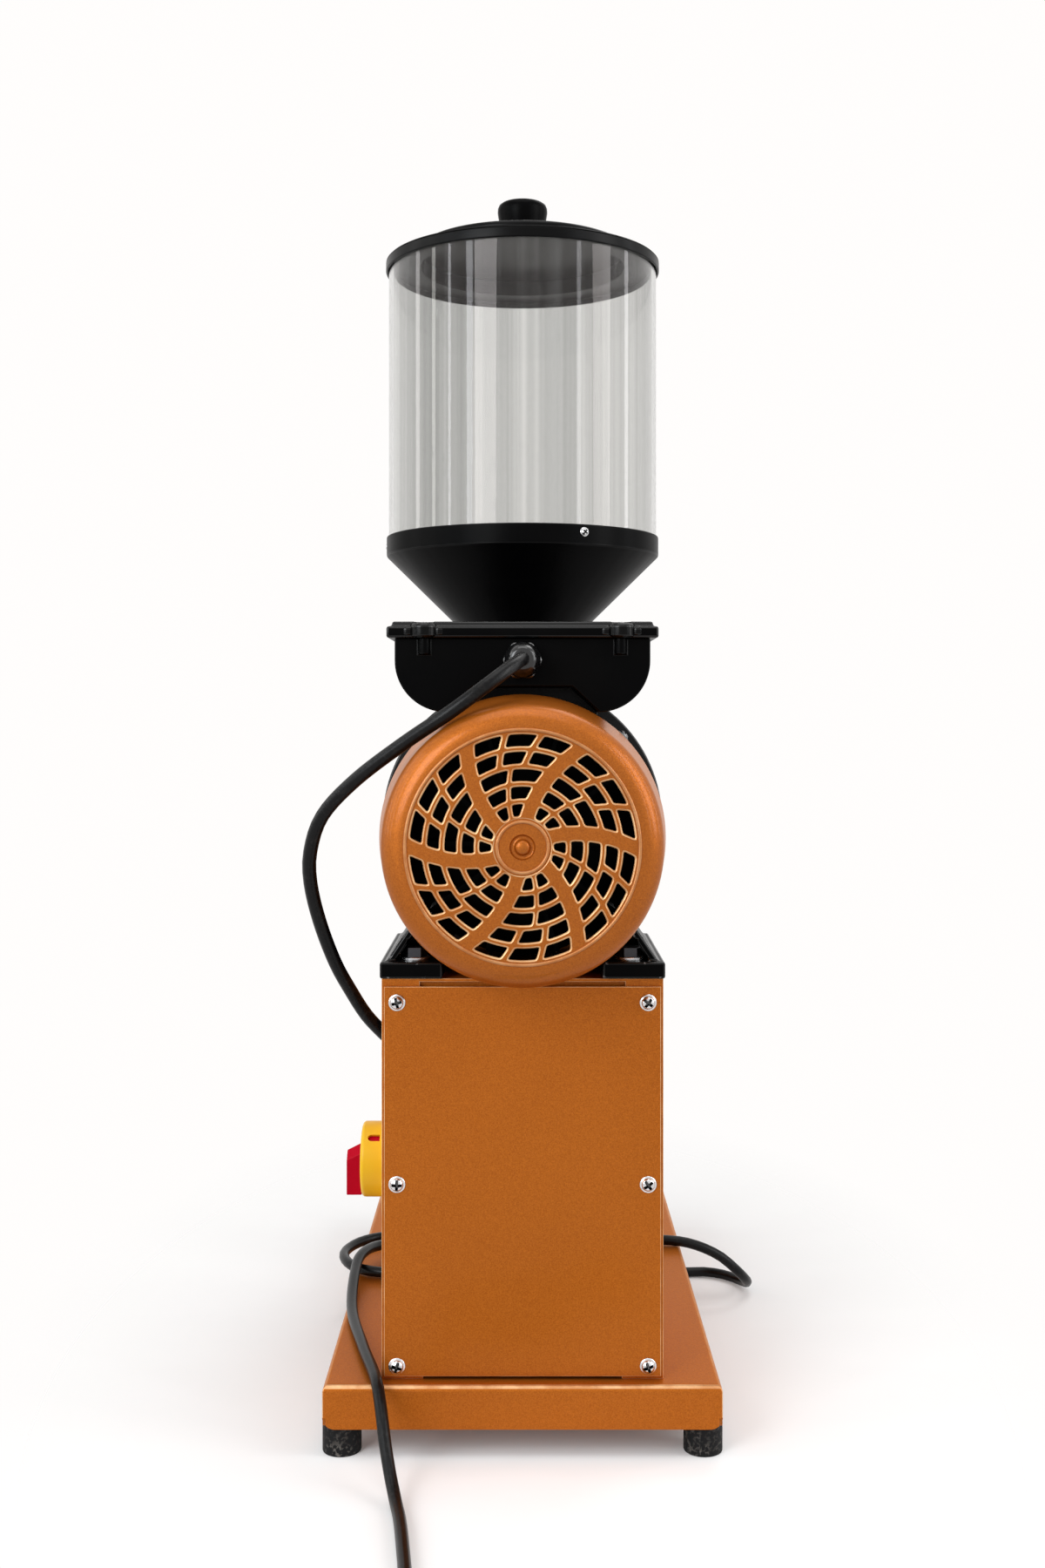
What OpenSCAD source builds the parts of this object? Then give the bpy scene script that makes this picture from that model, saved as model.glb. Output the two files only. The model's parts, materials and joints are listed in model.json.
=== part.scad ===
// Shop coffee grinder: sheet metal base and column, foot mounted motor, burr head and clear hopper.
// +Z is up, the motor's fan cowl faces -Y, the spout side faces +Y, and the floor is z = 0.

/* [Base] */
// Width of the base pan
base_w = 228; // [200:1:300]
// Length of the base pan
base_l = 430; // [400:1:500]
// Height of the pan's folded skirt
skirt_h = 25; // [20:1:40]
// Sheet thickness of the pan and the column
sheet = 2; // [1.5:0.1:3]
// Outer radius of the pan's folded top edges
fold_r = 4; // [3:0.5:6]
// Radius of the skirt's lower corners
skirt_corner_r = 7; // [3:0.5:10]
// Diameter of a rubber foot
foot_d = 22.5; // [18:0.5:30]
// Height of the skirt's lower edge above the floor
foot_h = 17; // [12:1:30]
// How far a foot grips up over the skirt
foot_grip = 8.5; // [5:0.5:12]
// How far a foot stands proud of the pan's side
foot_proud = 1.3; // [0:0.1:3]

/* [Column] */
// Width of the column
col_w = 162; // [150:1:180]
// Depth of the column
col_d = 150; // [140:1:170]
// Height of the column
col_h = 230; // [200:1:300]
// Distance from the pan's rear edge to the column's rear face
col_inset = 10; // [4:1:20]
// Width of the column's rear return flanges
col_flange = 22; // [18:1:30]
// Margin of the rear cover inside the column's outline
cover_margin = 1.5; // [0.5:0.1:4]
// Distance of the rear cover's upper edge below the column's top
cover_top = 4.4; // [3:0.1:8]
// Distance of the cover screws from the column's sides
cover_screw_side = 9; // [8:0.5:14]
// Distance of the upper cover screws from the column's top
cover_screw_top = 13.5; // [10:0.5:18]
// Distance of the lower cover screws from the column's foot
cover_screw_low = 8; // [8:0.5:14]
// Diameter of a pan head cover screw
pan_head_d = 9.5; // [8:0.5:11]

/* [Switch] */
// Side of the switch's square plate
switch_plate = 46; // [44:1:60]
// Diameter of the collar round the handle
switch_collar_d = 44; // [38:1:48]
// Height of the collar above the plate
switch_collar_h = 13; // [12:0.5:16]
// Distance from the column's rear face to the switch's axis
switch_inset = 40; // [36:1:60]
// Height of the switch's axis above the base pan
switch_h = 116; // [60:1:150]
// Length of the grip on the handle
switch_grip_l = 30; // [20:1:36]

/* [Motor] */
// Height of the shaft above the motor's feet
shaft_h = 80; // [76:1:90]
// Diameter of the motor's shaft
shaft_d = 19; // [16:1:24]
// Diameter of the housing under its fins
housing_d = 138; // [130:1:146]
// Height of a cooling fin
fin_h = 5; // [3:0.5:8]
// Number of cooling fins
fin_count = 36; // [16:1:48]
// Wall of the housing
housing_wall = 7; // [4:0.5:10]
// Length of the housing between its end shields
housing_l = 112; // [100:1:130]
// Distance from the pan's rear edge to the housing's rear end
housing_inset = 45; // [38:1:60]
// Thickness of an end shield
shield_t = 16; // [14:1:20]
// Outer diameter of a shaft bearing
bearing_d = 47; // [40:1:52]
// Spacing of the foot bolts across the motor
foot_bolt_x = 125; // [118:1:130]
// Spacing of the foot bolts along the motor
foot_bolt_y = 100; // [80:1:110]
// Width of one foot pad
pad_w = 36; // [30:1:40]
// Length of the feet
pad_l = 130; // [120:1:140]
// Thickness of a foot pad
pad_t = 9.5; // [7:0.5:12]

/* [Fan cowl] */
// Diameter of the cowl at its open end
cowl_d = 167; // [160:1:168]
// Diameter of the cowl behind its shoulder
cowl_front_d = 155; // [150:1:158]
// Length of the cowl from its face to its open end
cowl_l = 104; // [90:1:110]
// Sheet thickness of the cowl
cowl_t = 2; // [1.2:0.1:3]
// Radius of the cowl's rounded shoulder
cowl_shoulder_r = 13; // [10:0.5:14]
// Width of a curved spoke in the grille
spoke_w = 7.4; // [5:0.2:9]
// Number of curved spokes
spoke_count = 6; // [4:1:8]
// Width of the thin ribs and rings of the grille
rib_w = 3.2; // [2:0.1:4]
// Outer radius of the grille's openings
grille_r = 60.6; // [54:0.1:61]
// Radial height of a row of openings
row_h = 6.2; // [4:0.1:6.6]
// Number of rows of openings
row_count = 5; // [3:1:5]

/* [Terminal box] */
// Width of the box
box_w = 148.5; // [130:0.5:156]
// Length of the box along the motor
box_l = 118; // [100:1:124]
// Height of the box under its lid
box_h = 43; // [42:1:60]
// Height of the box's lid
box_lid_h = 9.6; // [6:0.2:12]
// Overhang of the lid round the box
box_lid_lip = 4.5; // [3:0.5:6]
// Wall of the box
box_wall = 3; // [2:0.5:4]
// Radius of the box's lower corners
box_corner_r = 30; // [20:1:31]

/* [Grinding head] */
// Diameter of the head's rear flange and of its chamber
head_d = 190; // [184:1:210]
// Thickness of the rear flange
head_flange_t = 12; // [10:1:16]
// Diameter of the feed body between flange and chamber
feed_body_d = 96; // [90:1:104]
// Diameter of the feed tunnel
tunnel_d = 60; // [54:1:66]
// Diameter of the feed screw
screw_d = 54; // [40:1:58]
// Pitch of the feed screw
screw_pitch = 38; // [28:1:50]
// Thickness of the feed screw's flight
flight_t = 5; // [4:0.5:8]
// Depth of the grinding chamber
chamber_l = 44; // [42:1:56]
// Wall of the grinding chamber
chamber_wall = 13; // [10:1:20]
// Diameter of the burrs
burr_d = 128; // [110:1:140]
// Diameter of the hole in the burrs
burr_hole_d = 64; // [56:1:76]
// Thickness of one burr
burr_t = 8; // [6:0.5:10]
// Gap between the burrs at rest
burr_gap = 0.5; // [0.3:0.1:1.5]
// Number of teeth on a burr
burr_teeth = 24; // [12:1:36]
// Diameter of the adjusting wheel
wheel_d = 124; // [90:1:150]
// Number of finger lobes on the wheel
wheel_lobes = 8; // [5:1:10]

/* [Spout] */
// Outer diameter of the spout
spout_d = 38; // [30:1:40]
// Length of the spout below its flange
spout_l = 84; // [60:1:100]
// Wall of the spout
spout_wall = 2.5; // [2:0.5:4]

/* [Hopper] */
// Outer diameter of the clear tube
tube_d = 190; // [170:1:220]
// Length of the clear tube
tube_l = 203; // [150:1:300]
// Wall of the clear tube
tube_wall = 3; // [2:0.5:5]
// Distance from the pan's rear edge to the hopper's axis
hopper_inset = 239; // [230:1:245]
// Outer diameter of the funnel's throat
throat_d = 64; // [58:1:68]
// Wall of the funnel
funnel_wall = 3; // [2:0.5:5]
// Height of the funnel's straight rim
rim_h = 13.5; // [10:0.5:20]
// Slope of the funnel's cone, height over radius
cone_slope = 0.98; // [0.8:0.02:1.2]
// Diameter of the lid's flange
lid_d = 194; // [194:1:240]
// Diameter of the lid's raised step
lid_step_d = 150; // [100:1:164]
// Height of the lid's raised step
lid_step_h = 10; // [6:1:16]
// Height of the knob
knob_h = 33; // [26:1:50]
// Diameter of the knob
knob_d = 33; // [26:1:40]

/* [Fits] */
// Radial clearance of a turning or sliding fit
run_fit = 0.05; // [0.02:0.01:0.1]
// Gap between pieces that move past each other
gap = 0.3; // [0.2:0.05:0.5]

/* [Hidden] */
$fn = 96;

// Heights
base_top = foot_h + skirt_h;
col_top = base_top + col_h;
axis_z = col_top + shaft_h;

// Stations along the machine, from the rear to the front
base_y0 = -189;
base_y1 = base_y0 + base_l;
col_y0 = base_y0 + col_inset;
col_y1 = col_y0 + col_d;
housing_y0 = base_y0 + housing_inset;
housing_y1 = housing_y0 + housing_l;
shield_y0 = housing_y0 - shield_t;
shield_spigot = 10;
head_y0 = housing_y1 + shield_t + shield_spigot;
flange_y1 = head_y0 + head_flange_t;
hopper_y = base_y0 + hopper_inset;
chamber_wall_back = 4;
chamber_y0 = hopper_y + throat_d / 2 + chamber_wall_back;
chamber_y1 = chamber_y0 + chamber_l;
cowl_lap = 8;
cowl_y1 = housing_y0 + cowl_lap;
cowl_y0 = cowl_y1 - cowl_l;

// Sizes that only the pieces below use
over = 1;
shaft_r = shaft_d / 2;
housing_r = housing_d / 2;
fin_r = housing_r + fin_h;
stator_r = housing_r - housing_wall;
cowl_r = cowl_d / 2;
cowl_front_r = cowl_front_d / 2;
head_r = head_d / 2;
screw_hole_r = 2.1;
foot_bolt_r = 4;
hex_r = 7.5;
bottom_flange = 22;
bearing_w = 14;
rotor_r = 40;
core_inset = 18;
bead_h = 1;

// Round bars along each axis, given by their ends
module bar_x(r, x0, x1, y, z) {
    translate([x0, y, z]) rotate([0, 90, 0]) cylinder(r = r, h = x1 - x0);
}
module bar_y(r, y0, y1, x = 0, z = axis_z) {
    translate([x, y1, z]) rotate([90, 0, 0]) cylinder(r = r, h = y1 - y0);
}
module bar_z(r, z0, z1, x = 0, y = 0) {
    translate([x, y, z0]) cylinder(r = r, h = z1 - z0);
}
module ring_y(r_out, r_in, y0, y1) {
    difference() {
        bar_y(r_out, y0, y1);
        bar_y(r_in, y0 - over, y1 + over);
    }
}
// A flat outline seen from the rear, x to the right and y up from the shaft, from y0 to y1
module slab_y(y0, y1) {
    translate([0, y1, axis_z]) rotate([90, 0, 0]) linear_extrude(y1 - y0) children();
}
// A block given by its lowest and highest corners
module block(low, high) {
    translate(low) cube(high - low);
}
module both_sides() {
    for (side = [0, 1]) mirror([side, 0, 0]) children();
}
// Screw with a domed head, seated at z = 0 with its head upwards
module pan_screw(head_d, shank_r, shank_l) {
    dome_h = 0.34 * head_d;
    dome_r = (head_d * head_d / 4 + dome_h * dome_h) / (2 * dome_h);
    intersection() {
        translate([0, 0, dome_h - dome_r]) sphere(dome_r);
        cylinder(d = head_d + over, h = dome_h);
    }
    translate([0, 0, -shank_l]) cylinder(r = shank_r, h = shank_l + over / 10);
}
// Hexagon head bolt with its washer, seated at z = 0 with its head upwards
module hex_bolt(shank_r, shank_l) {
    washer_t = 0.4 * shank_r;
    head_h = 1.4 * shank_r;
    cylinder(r = 2.2 * shank_r, h = washer_t);
    translate([0, 0, washer_t - over / 100]) cylinder(r = 1.85 * shank_r, h = head_h, $fn = 6);
    translate([0, 0, -shank_l]) cylinder(r = shank_r, h = shank_l + over / 100);
}

/* Base pan and feet */
pan_mid = (base_y0 + base_y1) / 2;
foot_x = base_w / 2 + foot_proud - foot_d / 2;
foot_in = sheet + gap + foot_d / 2;
col_bolt_x = col_w / 2 - sheet - bottom_flange / 2;
col_bolt_in = 24;
col_bolt_r = 3;

module folded_outline(w, h, r) {
    translate([-w / 2, 0]) square([w, h - r]);
    translate([r - w / 2, 0]) square([w - 2 * r, h]);
    for (side = [-1, 1]) translate([side * (w / 2 - r), h - r]) circle(r);
}
module folded_tray(w, l, h, r) {
    intersection() {
        translate([0, l / 2, 0]) rotate([90, 0, 0]) linear_extrude(l) folded_outline(w, h, r);
        translate([-w / 2, 0, 0]) rotate([90, 0, 90]) linear_extrude(w) folded_outline(l, h, r);
    }
}
module corner_gap() {
    difference() {
        translate([-over, -over]) square(skirt_corner_r + over);
        translate([skirt_corner_r, skirt_corner_r]) circle(skirt_corner_r);
    }
}
module at_col_bolts() {
    for (y = [col_y0 + col_bolt_in, col_y1 - col_bolt_in])
        both_sides() translate([col_bolt_x, y, base_top]) children();
}
module base_pan() {
    color("chocolate") difference() {
        translate([0, pan_mid, foot_h]) difference() {
            folded_tray(base_w, base_l, skirt_h, fold_r);
            translate([0, 0, -over]) folded_tray(
                base_w - 2 * sheet, base_l - 2 * sheet, skirt_h - sheet + over, max(fold_r - sheet, 0.5));
            for (mx = [0, 1], my = [0, 1]) mirror([mx, 0, 0]) mirror([0, my, 0]) {
                translate([-base_w / 2, sheet - base_l / 2, 0])
                    rotate([90, 0, 0]) linear_extrude(sheet + over) corner_gap();
                translate([-base_w / 2 - over, -base_l / 2, 0])
                    rotate([90, 0, 90]) linear_extrude(sheet + over) corner_gap();
            }
        }
        at_col_bolts() translate([0, 0, -sheet - over]) cylinder(r = col_bolt_r + gap, h = sheet + 2 * over);
    }
}
module rubber_feet() {
    color("dimgray")
        for (y = [base_y0 + foot_in, base_y1 - foot_in])
            both_sides() difference() {
                bar_z(foot_d / 2, 0, foot_h + foot_grip, foot_x, y);
                block([base_w / 2 - sheet - run_fit, y - foot_d, foot_h],
                      [base_w / 2 + run_fit, y + foot_d, foot_h + foot_grip + over]);
            }
}

/* Column */
col_x = col_w / 2;
col_in_x = col_x - sheet;
foot_overhang = 2;
foot_y0 = col_y0 - foot_overhang;
bolt_y0 = foot_y0 + (pad_l - foot_bolt_y) / 2;
switch_y = col_y0 + switch_inset;
switch_z = base_top + switch_h;
switch_neck_r = 9;
grommet_inset = 33;
grommet_drop = 40;
grommet_y = col_y0 + grommet_inset;
grommet_z = col_top - grommet_drop;
grommet_slot = [11, 20];
grommet_t = 1.5;
cover_low = 2;

module at_foot_bolts() {
    for (y = [bolt_y0, bolt_y0 + foot_bolt_y])
        both_sides() translate([foot_bolt_x / 2, y, 0]) children();
}
module at_cover_screws() {
    z_low = base_top + cover_screw_low;
    z_high = col_top - cover_screw_top;
    for (z = [z_low, (z_low + z_high) / 2, z_high])
        both_sides() translate([col_x - cover_screw_side, col_y0 - sheet, z]) rotate([90, 0, 0]) children();
}
function wider(t) = [2 * t, 2 * t];
module round_slot(size) {
    for (side = [-1, 1]) translate([0, side * (size[1] - size[0]) / 2]) circle(d = size[0]);
    square([size[0], size[1] - size[0]], center = true);
}
module at_grommet(x) {
    translate([x, grommet_y, grommet_z]) rotate([90, 0, 90]) children();
}
module column_shell() {
    color("chocolate") difference() {
        block([-col_x, col_y0, base_top], [col_x, col_y1, col_top]);
        block([-col_in_x, col_y0 + sheet, base_top + sheet], [col_in_x, col_y1 - sheet, col_top - sheet]);
        block([bottom_flange - col_in_x, col_y0 - over, base_top - over],
              [col_in_x - bottom_flange, col_y1 - sheet - bottom_flange, base_top + 2 * sheet]);
        block([col_flange - col_x, col_y0 - over, base_top + 2 * sheet - over],
              [col_x - col_flange, col_y0 + 2 * sheet, col_top - sheet]);
        at_foot_bolts() bar_z(foot_bolt_r + gap, col_top - sheet - over, col_top + over);
        at_cover_screws() translate([0, 0, -3 * sheet]) cylinder(r = screw_hole_r, h = 3 * sheet);
        at_col_bolts() translate([0, 0, -over]) cylinder(r = col_bolt_r + gap, h = sheet + 2 * over);
        bar_x(switch_neck_r + gap, -col_x - over, -col_in_x + over, switch_y, switch_z);
        at_grommet(-col_x - over) linear_extrude(sheet + 2 * over)
            round_slot(grommet_slot + wider(grommet_t));
    }
}
module column_bolts() {
    nut_h = 5;
    color("silver") at_col_bolts() {
        translate([0, 0, sheet]) hex_bolt(col_bolt_r, 2 * sheet + nut_h + 2);
        translate([0, 0, -sheet - nut_h]) cylinder(r = 1.85 * col_bolt_r, h = nut_h, $fn = 6);
    }
}
module rear_cover() {
    color("chocolate") difference() {
        block([cover_margin - col_x, col_y0 - sheet, base_top + cover_low],
              [col_x - cover_margin, col_y0, col_top - cover_top]);
        at_cover_screws() translate([0, 0, -sheet - over]) cylinder(r = screw_hole_r, h = sheet + 2 * over);
    }
}
module cover_screws() {
    color("silver") at_cover_screws() pan_screw(pan_head_d, screw_hole_r - run_fit, 4 * sheet);
}
module cable_grommet() {
    lip = 2;
    color("black") difference() {
        union() {
            for (x = [-col_x - grommet_t, -col_in_x])
                at_grommet(x) linear_extrude(grommet_t) round_slot(grommet_slot + wider(grommet_t + lip));
            at_grommet(-col_x) linear_extrude(sheet) round_slot(grommet_slot + wider(grommet_t - run_fit));
        }
        at_grommet(-col_x - 2 * grommet_t) linear_extrude(sheet + 4 * grommet_t) round_slot(grommet_slot);
    }
}

/* Isolator switch on the column's left wall */
switch_plate_t = 1.5;
switch_shaft_r = 4;
switch_body_w = 46;
switch_body_l = 40;
plate_x = -col_x - switch_plate_t;
collar_x = plate_x - switch_collar_h;
handle_grip_h = 9;
drum_r = 15.5;
drum_l = 10;

module switch_plate_yellow() {
    window_w = 3;
    window_l = 6;
    window_in = 3.6;
    window_turn = 35;
    color("gold") difference() {
        union() {
            block([plate_x, switch_y - switch_plate / 2, switch_z - switch_plate / 2],
                  [-col_x, switch_y + switch_plate / 2, switch_z + switch_plate / 2]);
            bar_x(switch_collar_d / 2, collar_x, plate_x + over, switch_y, switch_z);
            bar_x(switch_neck_r, -col_x - over, -col_in_x, switch_y, switch_z);
        }
        bar_x(switch_shaft_r + run_fit, collar_x - over, -col_in_x + over, switch_y, switch_z);
        bar_x(drum_r + gap, collar_x - over, collar_x + drum_l + gap, switch_y, switch_z);
        for (turn = [0 : 90 : 270])
            translate([collar_x + window_in, switch_y, switch_z]) rotate([turn + window_turn, 0, 0])
                block([0, drum_r, -window_w / 2], [window_l, switch_collar_d, window_w / 2]);
    }
}
module switch_body() {
    half = switch_body_w / 2;
    color("dimgray") difference() {
        block([-col_in_x, switch_y - half, switch_z - half],
              [switch_body_l - col_in_x, switch_y + half, switch_z + half]);
        bar_x(switch_shaft_r + run_fit, -col_in_x - over, 0.6 * switch_body_l - col_in_x, switch_y, switch_z);
    }
}
module switch_handle() {
    grip_w = 11;
    grip_high = 0.32 * switch_grip_l;
    grip_low = grip_high - switch_grip_l;
    slope = 6;
    grip_x = collar_x - gap;
    color("crimson") {
        bar_x(drum_r, grip_x, collar_x + drum_l, switch_y, switch_z);
        translate([grip_x, switch_y + grip_w / 2, switch_z]) rotate([90, 0, 0]) linear_extrude(grip_w)
            polygon([[0, grip_low], [-handle_grip_h, grip_low + over], [-handle_grip_h, grip_high - slope],
                     [0, grip_high], [over, grip_high - over], [over, -grip_high], [0, -grip_high]]);
        bar_x(switch_shaft_r, collar_x, 0.5 * switch_body_l - col_in_x, switch_y, switch_z);
    }
}

/* Motor */
shield_y1 = housing_y1 + shield_t;
pad_shift = 1.5;
foot_out = foot_bolt_x / 2 + pad_w / 2 + pad_shift;
foot_web_t = 5;
foot_web_lean = 23;
foot_web_h = 34;
foot_web_inset = 3;
foot_rib_in = 34;
bolt_pocket_r = 9.6;
bolt_pocket_h = 12;
box_pad_h = 88;
box_pad_top = 29;
box_pad_low = 45;
box_pad_drop = 15;
box_z0 = axis_z + box_pad_h - box_pad_drop;
fan_inset = 26;
fan_y0 = cowl_y0 + fan_inset;
fan_l = 28;

// An outline standing on the foot pads, from y0 to y1
module foot_slab(y0, y1) {
    translate([0, y1, col_top + pad_t - over]) rotate([90, 0, 0]) linear_extrude(y1 - y0) children();
}
module motor_feet() {
    x_in = foot_out - pad_w;
    x_web = foot_out - foot_web_inset;
    color("black") both_sides() difference() {
        union() {
            block([x_in, foot_y0, col_top], [foot_out, foot_y0 + pad_l, col_top + pad_t]);
            foot_slab(foot_y0 + 2 * foot_web_inset, foot_y0 + pad_l)
                polygon([[x_web, 0], [x_web - foot_web_t, 0],
                         [x_web - foot_web_t - foot_web_lean, foot_web_h],
                         [x_web - foot_web_lean, foot_web_h]]);
            for (y = [foot_y0 + foot_rib_in, foot_y0 + pad_l / 2, foot_y0 + pad_l - foot_web_t])
                foot_slab(y, y + foot_web_t)
                    polygon([[x_web - over, 0], [x_in, 0], [x_in, foot_web_h],
                             [x_web - over - foot_web_lean, foot_web_h]]);
        }
        bar_y(cowl_r + gap, foot_y0 - over, cowl_y1 + over);
        bar_y(fin_r + run_fit, cowl_y1, foot_y0 + pad_l + over);
        at_foot_bolts() bar_z(foot_bolt_r + gap, col_top - over, col_top + pad_t + over);
        at_foot_bolts() bar_z(bolt_pocket_r, col_top + pad_t, col_top + pad_t + bolt_pocket_h);
    }
}
module foot_bolts() {
    nut_h = 6.5;
    color("dimgray") at_foot_bolts() {
        translate([0, 0, col_top + pad_t]) hex_bolt(foot_bolt_r, pad_t + sheet + nut_h + 2);
        translate([0, 0, col_top - sheet - nut_h]) cylinder(r = hex_r, h = nut_h, $fn = 6);
    }
}
module box_saddle(grow = 0) {
    polygon([[-box_pad_low - grow, 0], [box_pad_low + grow, 0],
             [box_pad_low + grow, box_pad_h - box_pad_drop], [box_pad_top + grow, box_pad_h + grow],
             [-box_pad_top - grow, box_pad_h + grow], [-box_pad_low - grow, box_pad_h - box_pad_drop]]);
}
module motor_housing() {
    fin_t = 2.4;
    color("black") difference() {
        union() {
            slab_y(housing_y0, housing_y1) {
                circle(housing_r);
                intersection() {
                    circle(fin_r);
                    for (i = [0 : fin_count - 1])
                        rotate(360 / fin_count * (i + 0.5)) translate([housing_r - over, -fin_t / 2])
                            square([2 * fin_h, fin_t]);
                }
            }
            slab_y(cowl_y1 + over, housing_y1) box_saddle();
        }
        bar_y(stator_r, housing_y0 - over, housing_y1 + over);
    }
}
module rear_end_shield() {
    boss_w = 12;
    color("dimgray") difference() {
        union() {
            bar_y(housing_r, shield_y0, housing_y0);
            intersection() {
                bar_y(cowl_r - cowl_t - run_fit, shield_y0, housing_y0);
                for (turn = [45 : 90 : 315])
                    translate([0, shield_y0, axis_z]) rotate([0, turn, 0]) translate([0, 0, -boss_w / 2])
                        cube([cowl_r, shield_t, boss_w]);
            }
        }
        bar_y(bearing_d / 2 + run_fit, housing_y0 - bearing_w, housing_y0 + over);
        bar_y(shaft_r + over, shield_y0 - over, housing_y0);
        at_cowl_screws() translate([0, 0, -cowl_screw_l - over])
            cylinder(r = screw_hole_r, h = cowl_screw_l + 2 * over);
    }
}
module front_end_shield() {
    color("dimgray") difference() {
        union() {
            bar_y(fin_r, housing_y1, shield_y1);
            bar_y(housing_r, shield_y1 - over, head_y0);
        }
        bar_y(bearing_d / 2 + run_fit, housing_y1 - over, housing_y1 + bearing_w);
        bar_y(shaft_r + over, housing_y1, head_y0 + over);
        at_head_bolts() bar_y(head_bolt_r, shield_y1 - 4, head_y0 + over);
    }
}
module rear_bearing() {
    color("silver") ring_y(bearing_d / 2, shaft_r + run_fit, housing_y0 - bearing_w, housing_y0);
}
module front_bearing() {
    color("silver") ring_y(bearing_d / 2, shaft_r + run_fit, housing_y1, housing_y1 + bearing_w);
}
module stator_core() {
    color("gray") ring_y(stator_r - run_fit, rotor_r + 0.5, housing_y0 + core_inset, housing_y1 - core_inset);
}
module rotor_core() {
    color("gray") ring_y(rotor_r, shaft_r + run_fit, housing_y0 + core_inset, housing_y1 - core_inset);
}
module motor_shaft() {
    color("silver") bar_y(shaft_r, fan_y0, burr_disc_y0 + burr_disc_t);
}
module cooling_fan() {
    blade_t = 2.5;
    blade_count = 10;
    hub_r = shaft_r + 6;
    tip_gap = 12;
    fan_r = cowl_front_r - cowl_t - tip_gap;
    disc_t = 3;
    color("black") difference() {
        union() {
            bar_y(hub_r, fan_y0, fan_y0 + fan_l);
            bar_y(fan_r * 0.7, fan_y0 + fan_l - disc_t, fan_y0 + fan_l);
            for (i = [0 : blade_count - 1])
                translate([0, fan_y0, axis_z]) rotate([0, i * 360 / blade_count, 0])
                    translate([hub_r - over, 0, -blade_t / 2]) cube([fan_r - hub_r, fan_l, blade_t]);
        }
        bar_y(shaft_r + run_fit, fan_y0 - over, fan_y0 + fan_l + over);
    }
}

/* Fan cowl with its swirled grille */
hub_ridge_r = 13.6;
hub_dish_r = 8;
hub_bump_r = 4.5;
spoke_arc_r = 69;
spoke_in_r = 16;
spoke_turn = 17;
spoke_phase = 1;
small_head_d = 8;
cowl_screw_l = 8;
row_pitch = row_h + rib_w;
split_r = grille_r - 2 * row_pitch + rib_w / 2;
cowl_face_r = cowl_front_r - cowl_shoulder_r;
cowl_straight = 30;
cowl_flat = axis_z - col_top - gap;
bead_r = grille_r + 2.8 * bead_h;

// One curved bar of the grille, from the hub out to the face's edge, its outer end on the x axis
module swirl_bar(w) {
    p_out = [grille_r + 2, 0];
    p_in = spoke_in_r * [cos(spoke_turn), sin(spoke_turn)];
    chord = p_out - p_in;
    side = [-chord[1], chord[0]] / norm(chord);
    reach = sqrt(spoke_arc_r * spoke_arc_r - chord * chord / 4);
    intersection() {
        translate((p_out + p_in) / 2 - side * reach) difference() {
            circle(spoke_arc_r + w / 2);
            circle(spoke_arc_r - w / 2);
        }
        translate([spoke_in_r / 2, -cowl_r / 2]) square([cowl_r, cowl_r]);
    }
}
module swirl_bars(w, offsets) {
    for (i = [0 : spoke_count - 1], shift = offsets)
        rotate(spoke_phase + (i + shift) * 360 / spoke_count) swirl_bar(w);
}
module grille_openings() {
    difference() {
        for (i = [0 : row_count - 1]) difference() {
            circle(grille_r - i * row_pitch);
            circle(grille_r - i * row_pitch - row_h);
        }
        swirl_bars(spoke_w, [0]);
        difference() {
            swirl_bars(rib_w, [1 / 3, 2 / 3]);
            circle(split_r);
        }
        intersection() {
            swirl_bars(rib_w, [1 / 2]);
            circle(split_r);
        }
    }
}
// Half the outline of the flared cowl, y up from its open end
module cowl_outline(inset, low) {
    high = cowl_l - cowl_shoulder_r;
    polygon([[0, low], [cowl_r - inset, low], [cowl_r - inset, cowl_straight],
             [cowl_front_r - inset, high], [0, high]]);
    square([cowl_face_r, cowl_l - inset]);
    translate([cowl_face_r, high]) circle(cowl_shoulder_r - inset);
}
// The cowl as a solid, flat underneath where it passes over the column
module cowl_solid(inset, low) {
    translate([0, cowl_y1, axis_z]) rotate([90, 0, 0]) intersection() {
        rotate_extrude() cowl_outline(inset, low);
        translate([-cowl_d, inset - cowl_flat, low]) cube([2 * cowl_d, 2 * cowl_d, cowl_l + over]);
    }
}
module at_cowl_screws() {
    for (turn = [45 : 90 : 315])
        translate([0, shield_y0 + shield_t / 2, axis_z]) rotate([0, turn, 0])
            translate([cowl_r, 0, 0]) rotate([0, 90, 0]) children();
}
module fan_cowl() {
    color("darkorange") difference() {
        union() {
            difference() {
                cowl_solid(0, 0);
                cowl_solid(cowl_t, -over);
            }
            translate([0, cowl_y0, axis_z]) rotate([90, 0, 0]) rotate_extrude() {
                translate([bead_r, 0]) circle(bead_h);
                translate([hub_ridge_r, 0]) circle(bead_h);
            }
        }
        translate([0, cowl_y0, axis_z]) rotate([90, 0, 0]) rotate_extrude()
            translate([(hub_dish_r + hub_bump_r) / 2, 0]) circle((hub_dish_r - hub_bump_r) / 2, $fn = 32);
        slab_y(cowl_y0 - 2 * bead_h, cowl_y0 + 2 * cowl_t) grille_openings();
        at_cowl_screws() translate([0, 0, -2 * cowl_t]) cylinder(r = screw_hole_r, h = 3 * cowl_t);
    }
}
module cowl_screws() {
    color("silver") at_cowl_screws() pan_screw(small_head_d, screw_hole_r - run_fit, cowl_screw_l);
}

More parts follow.
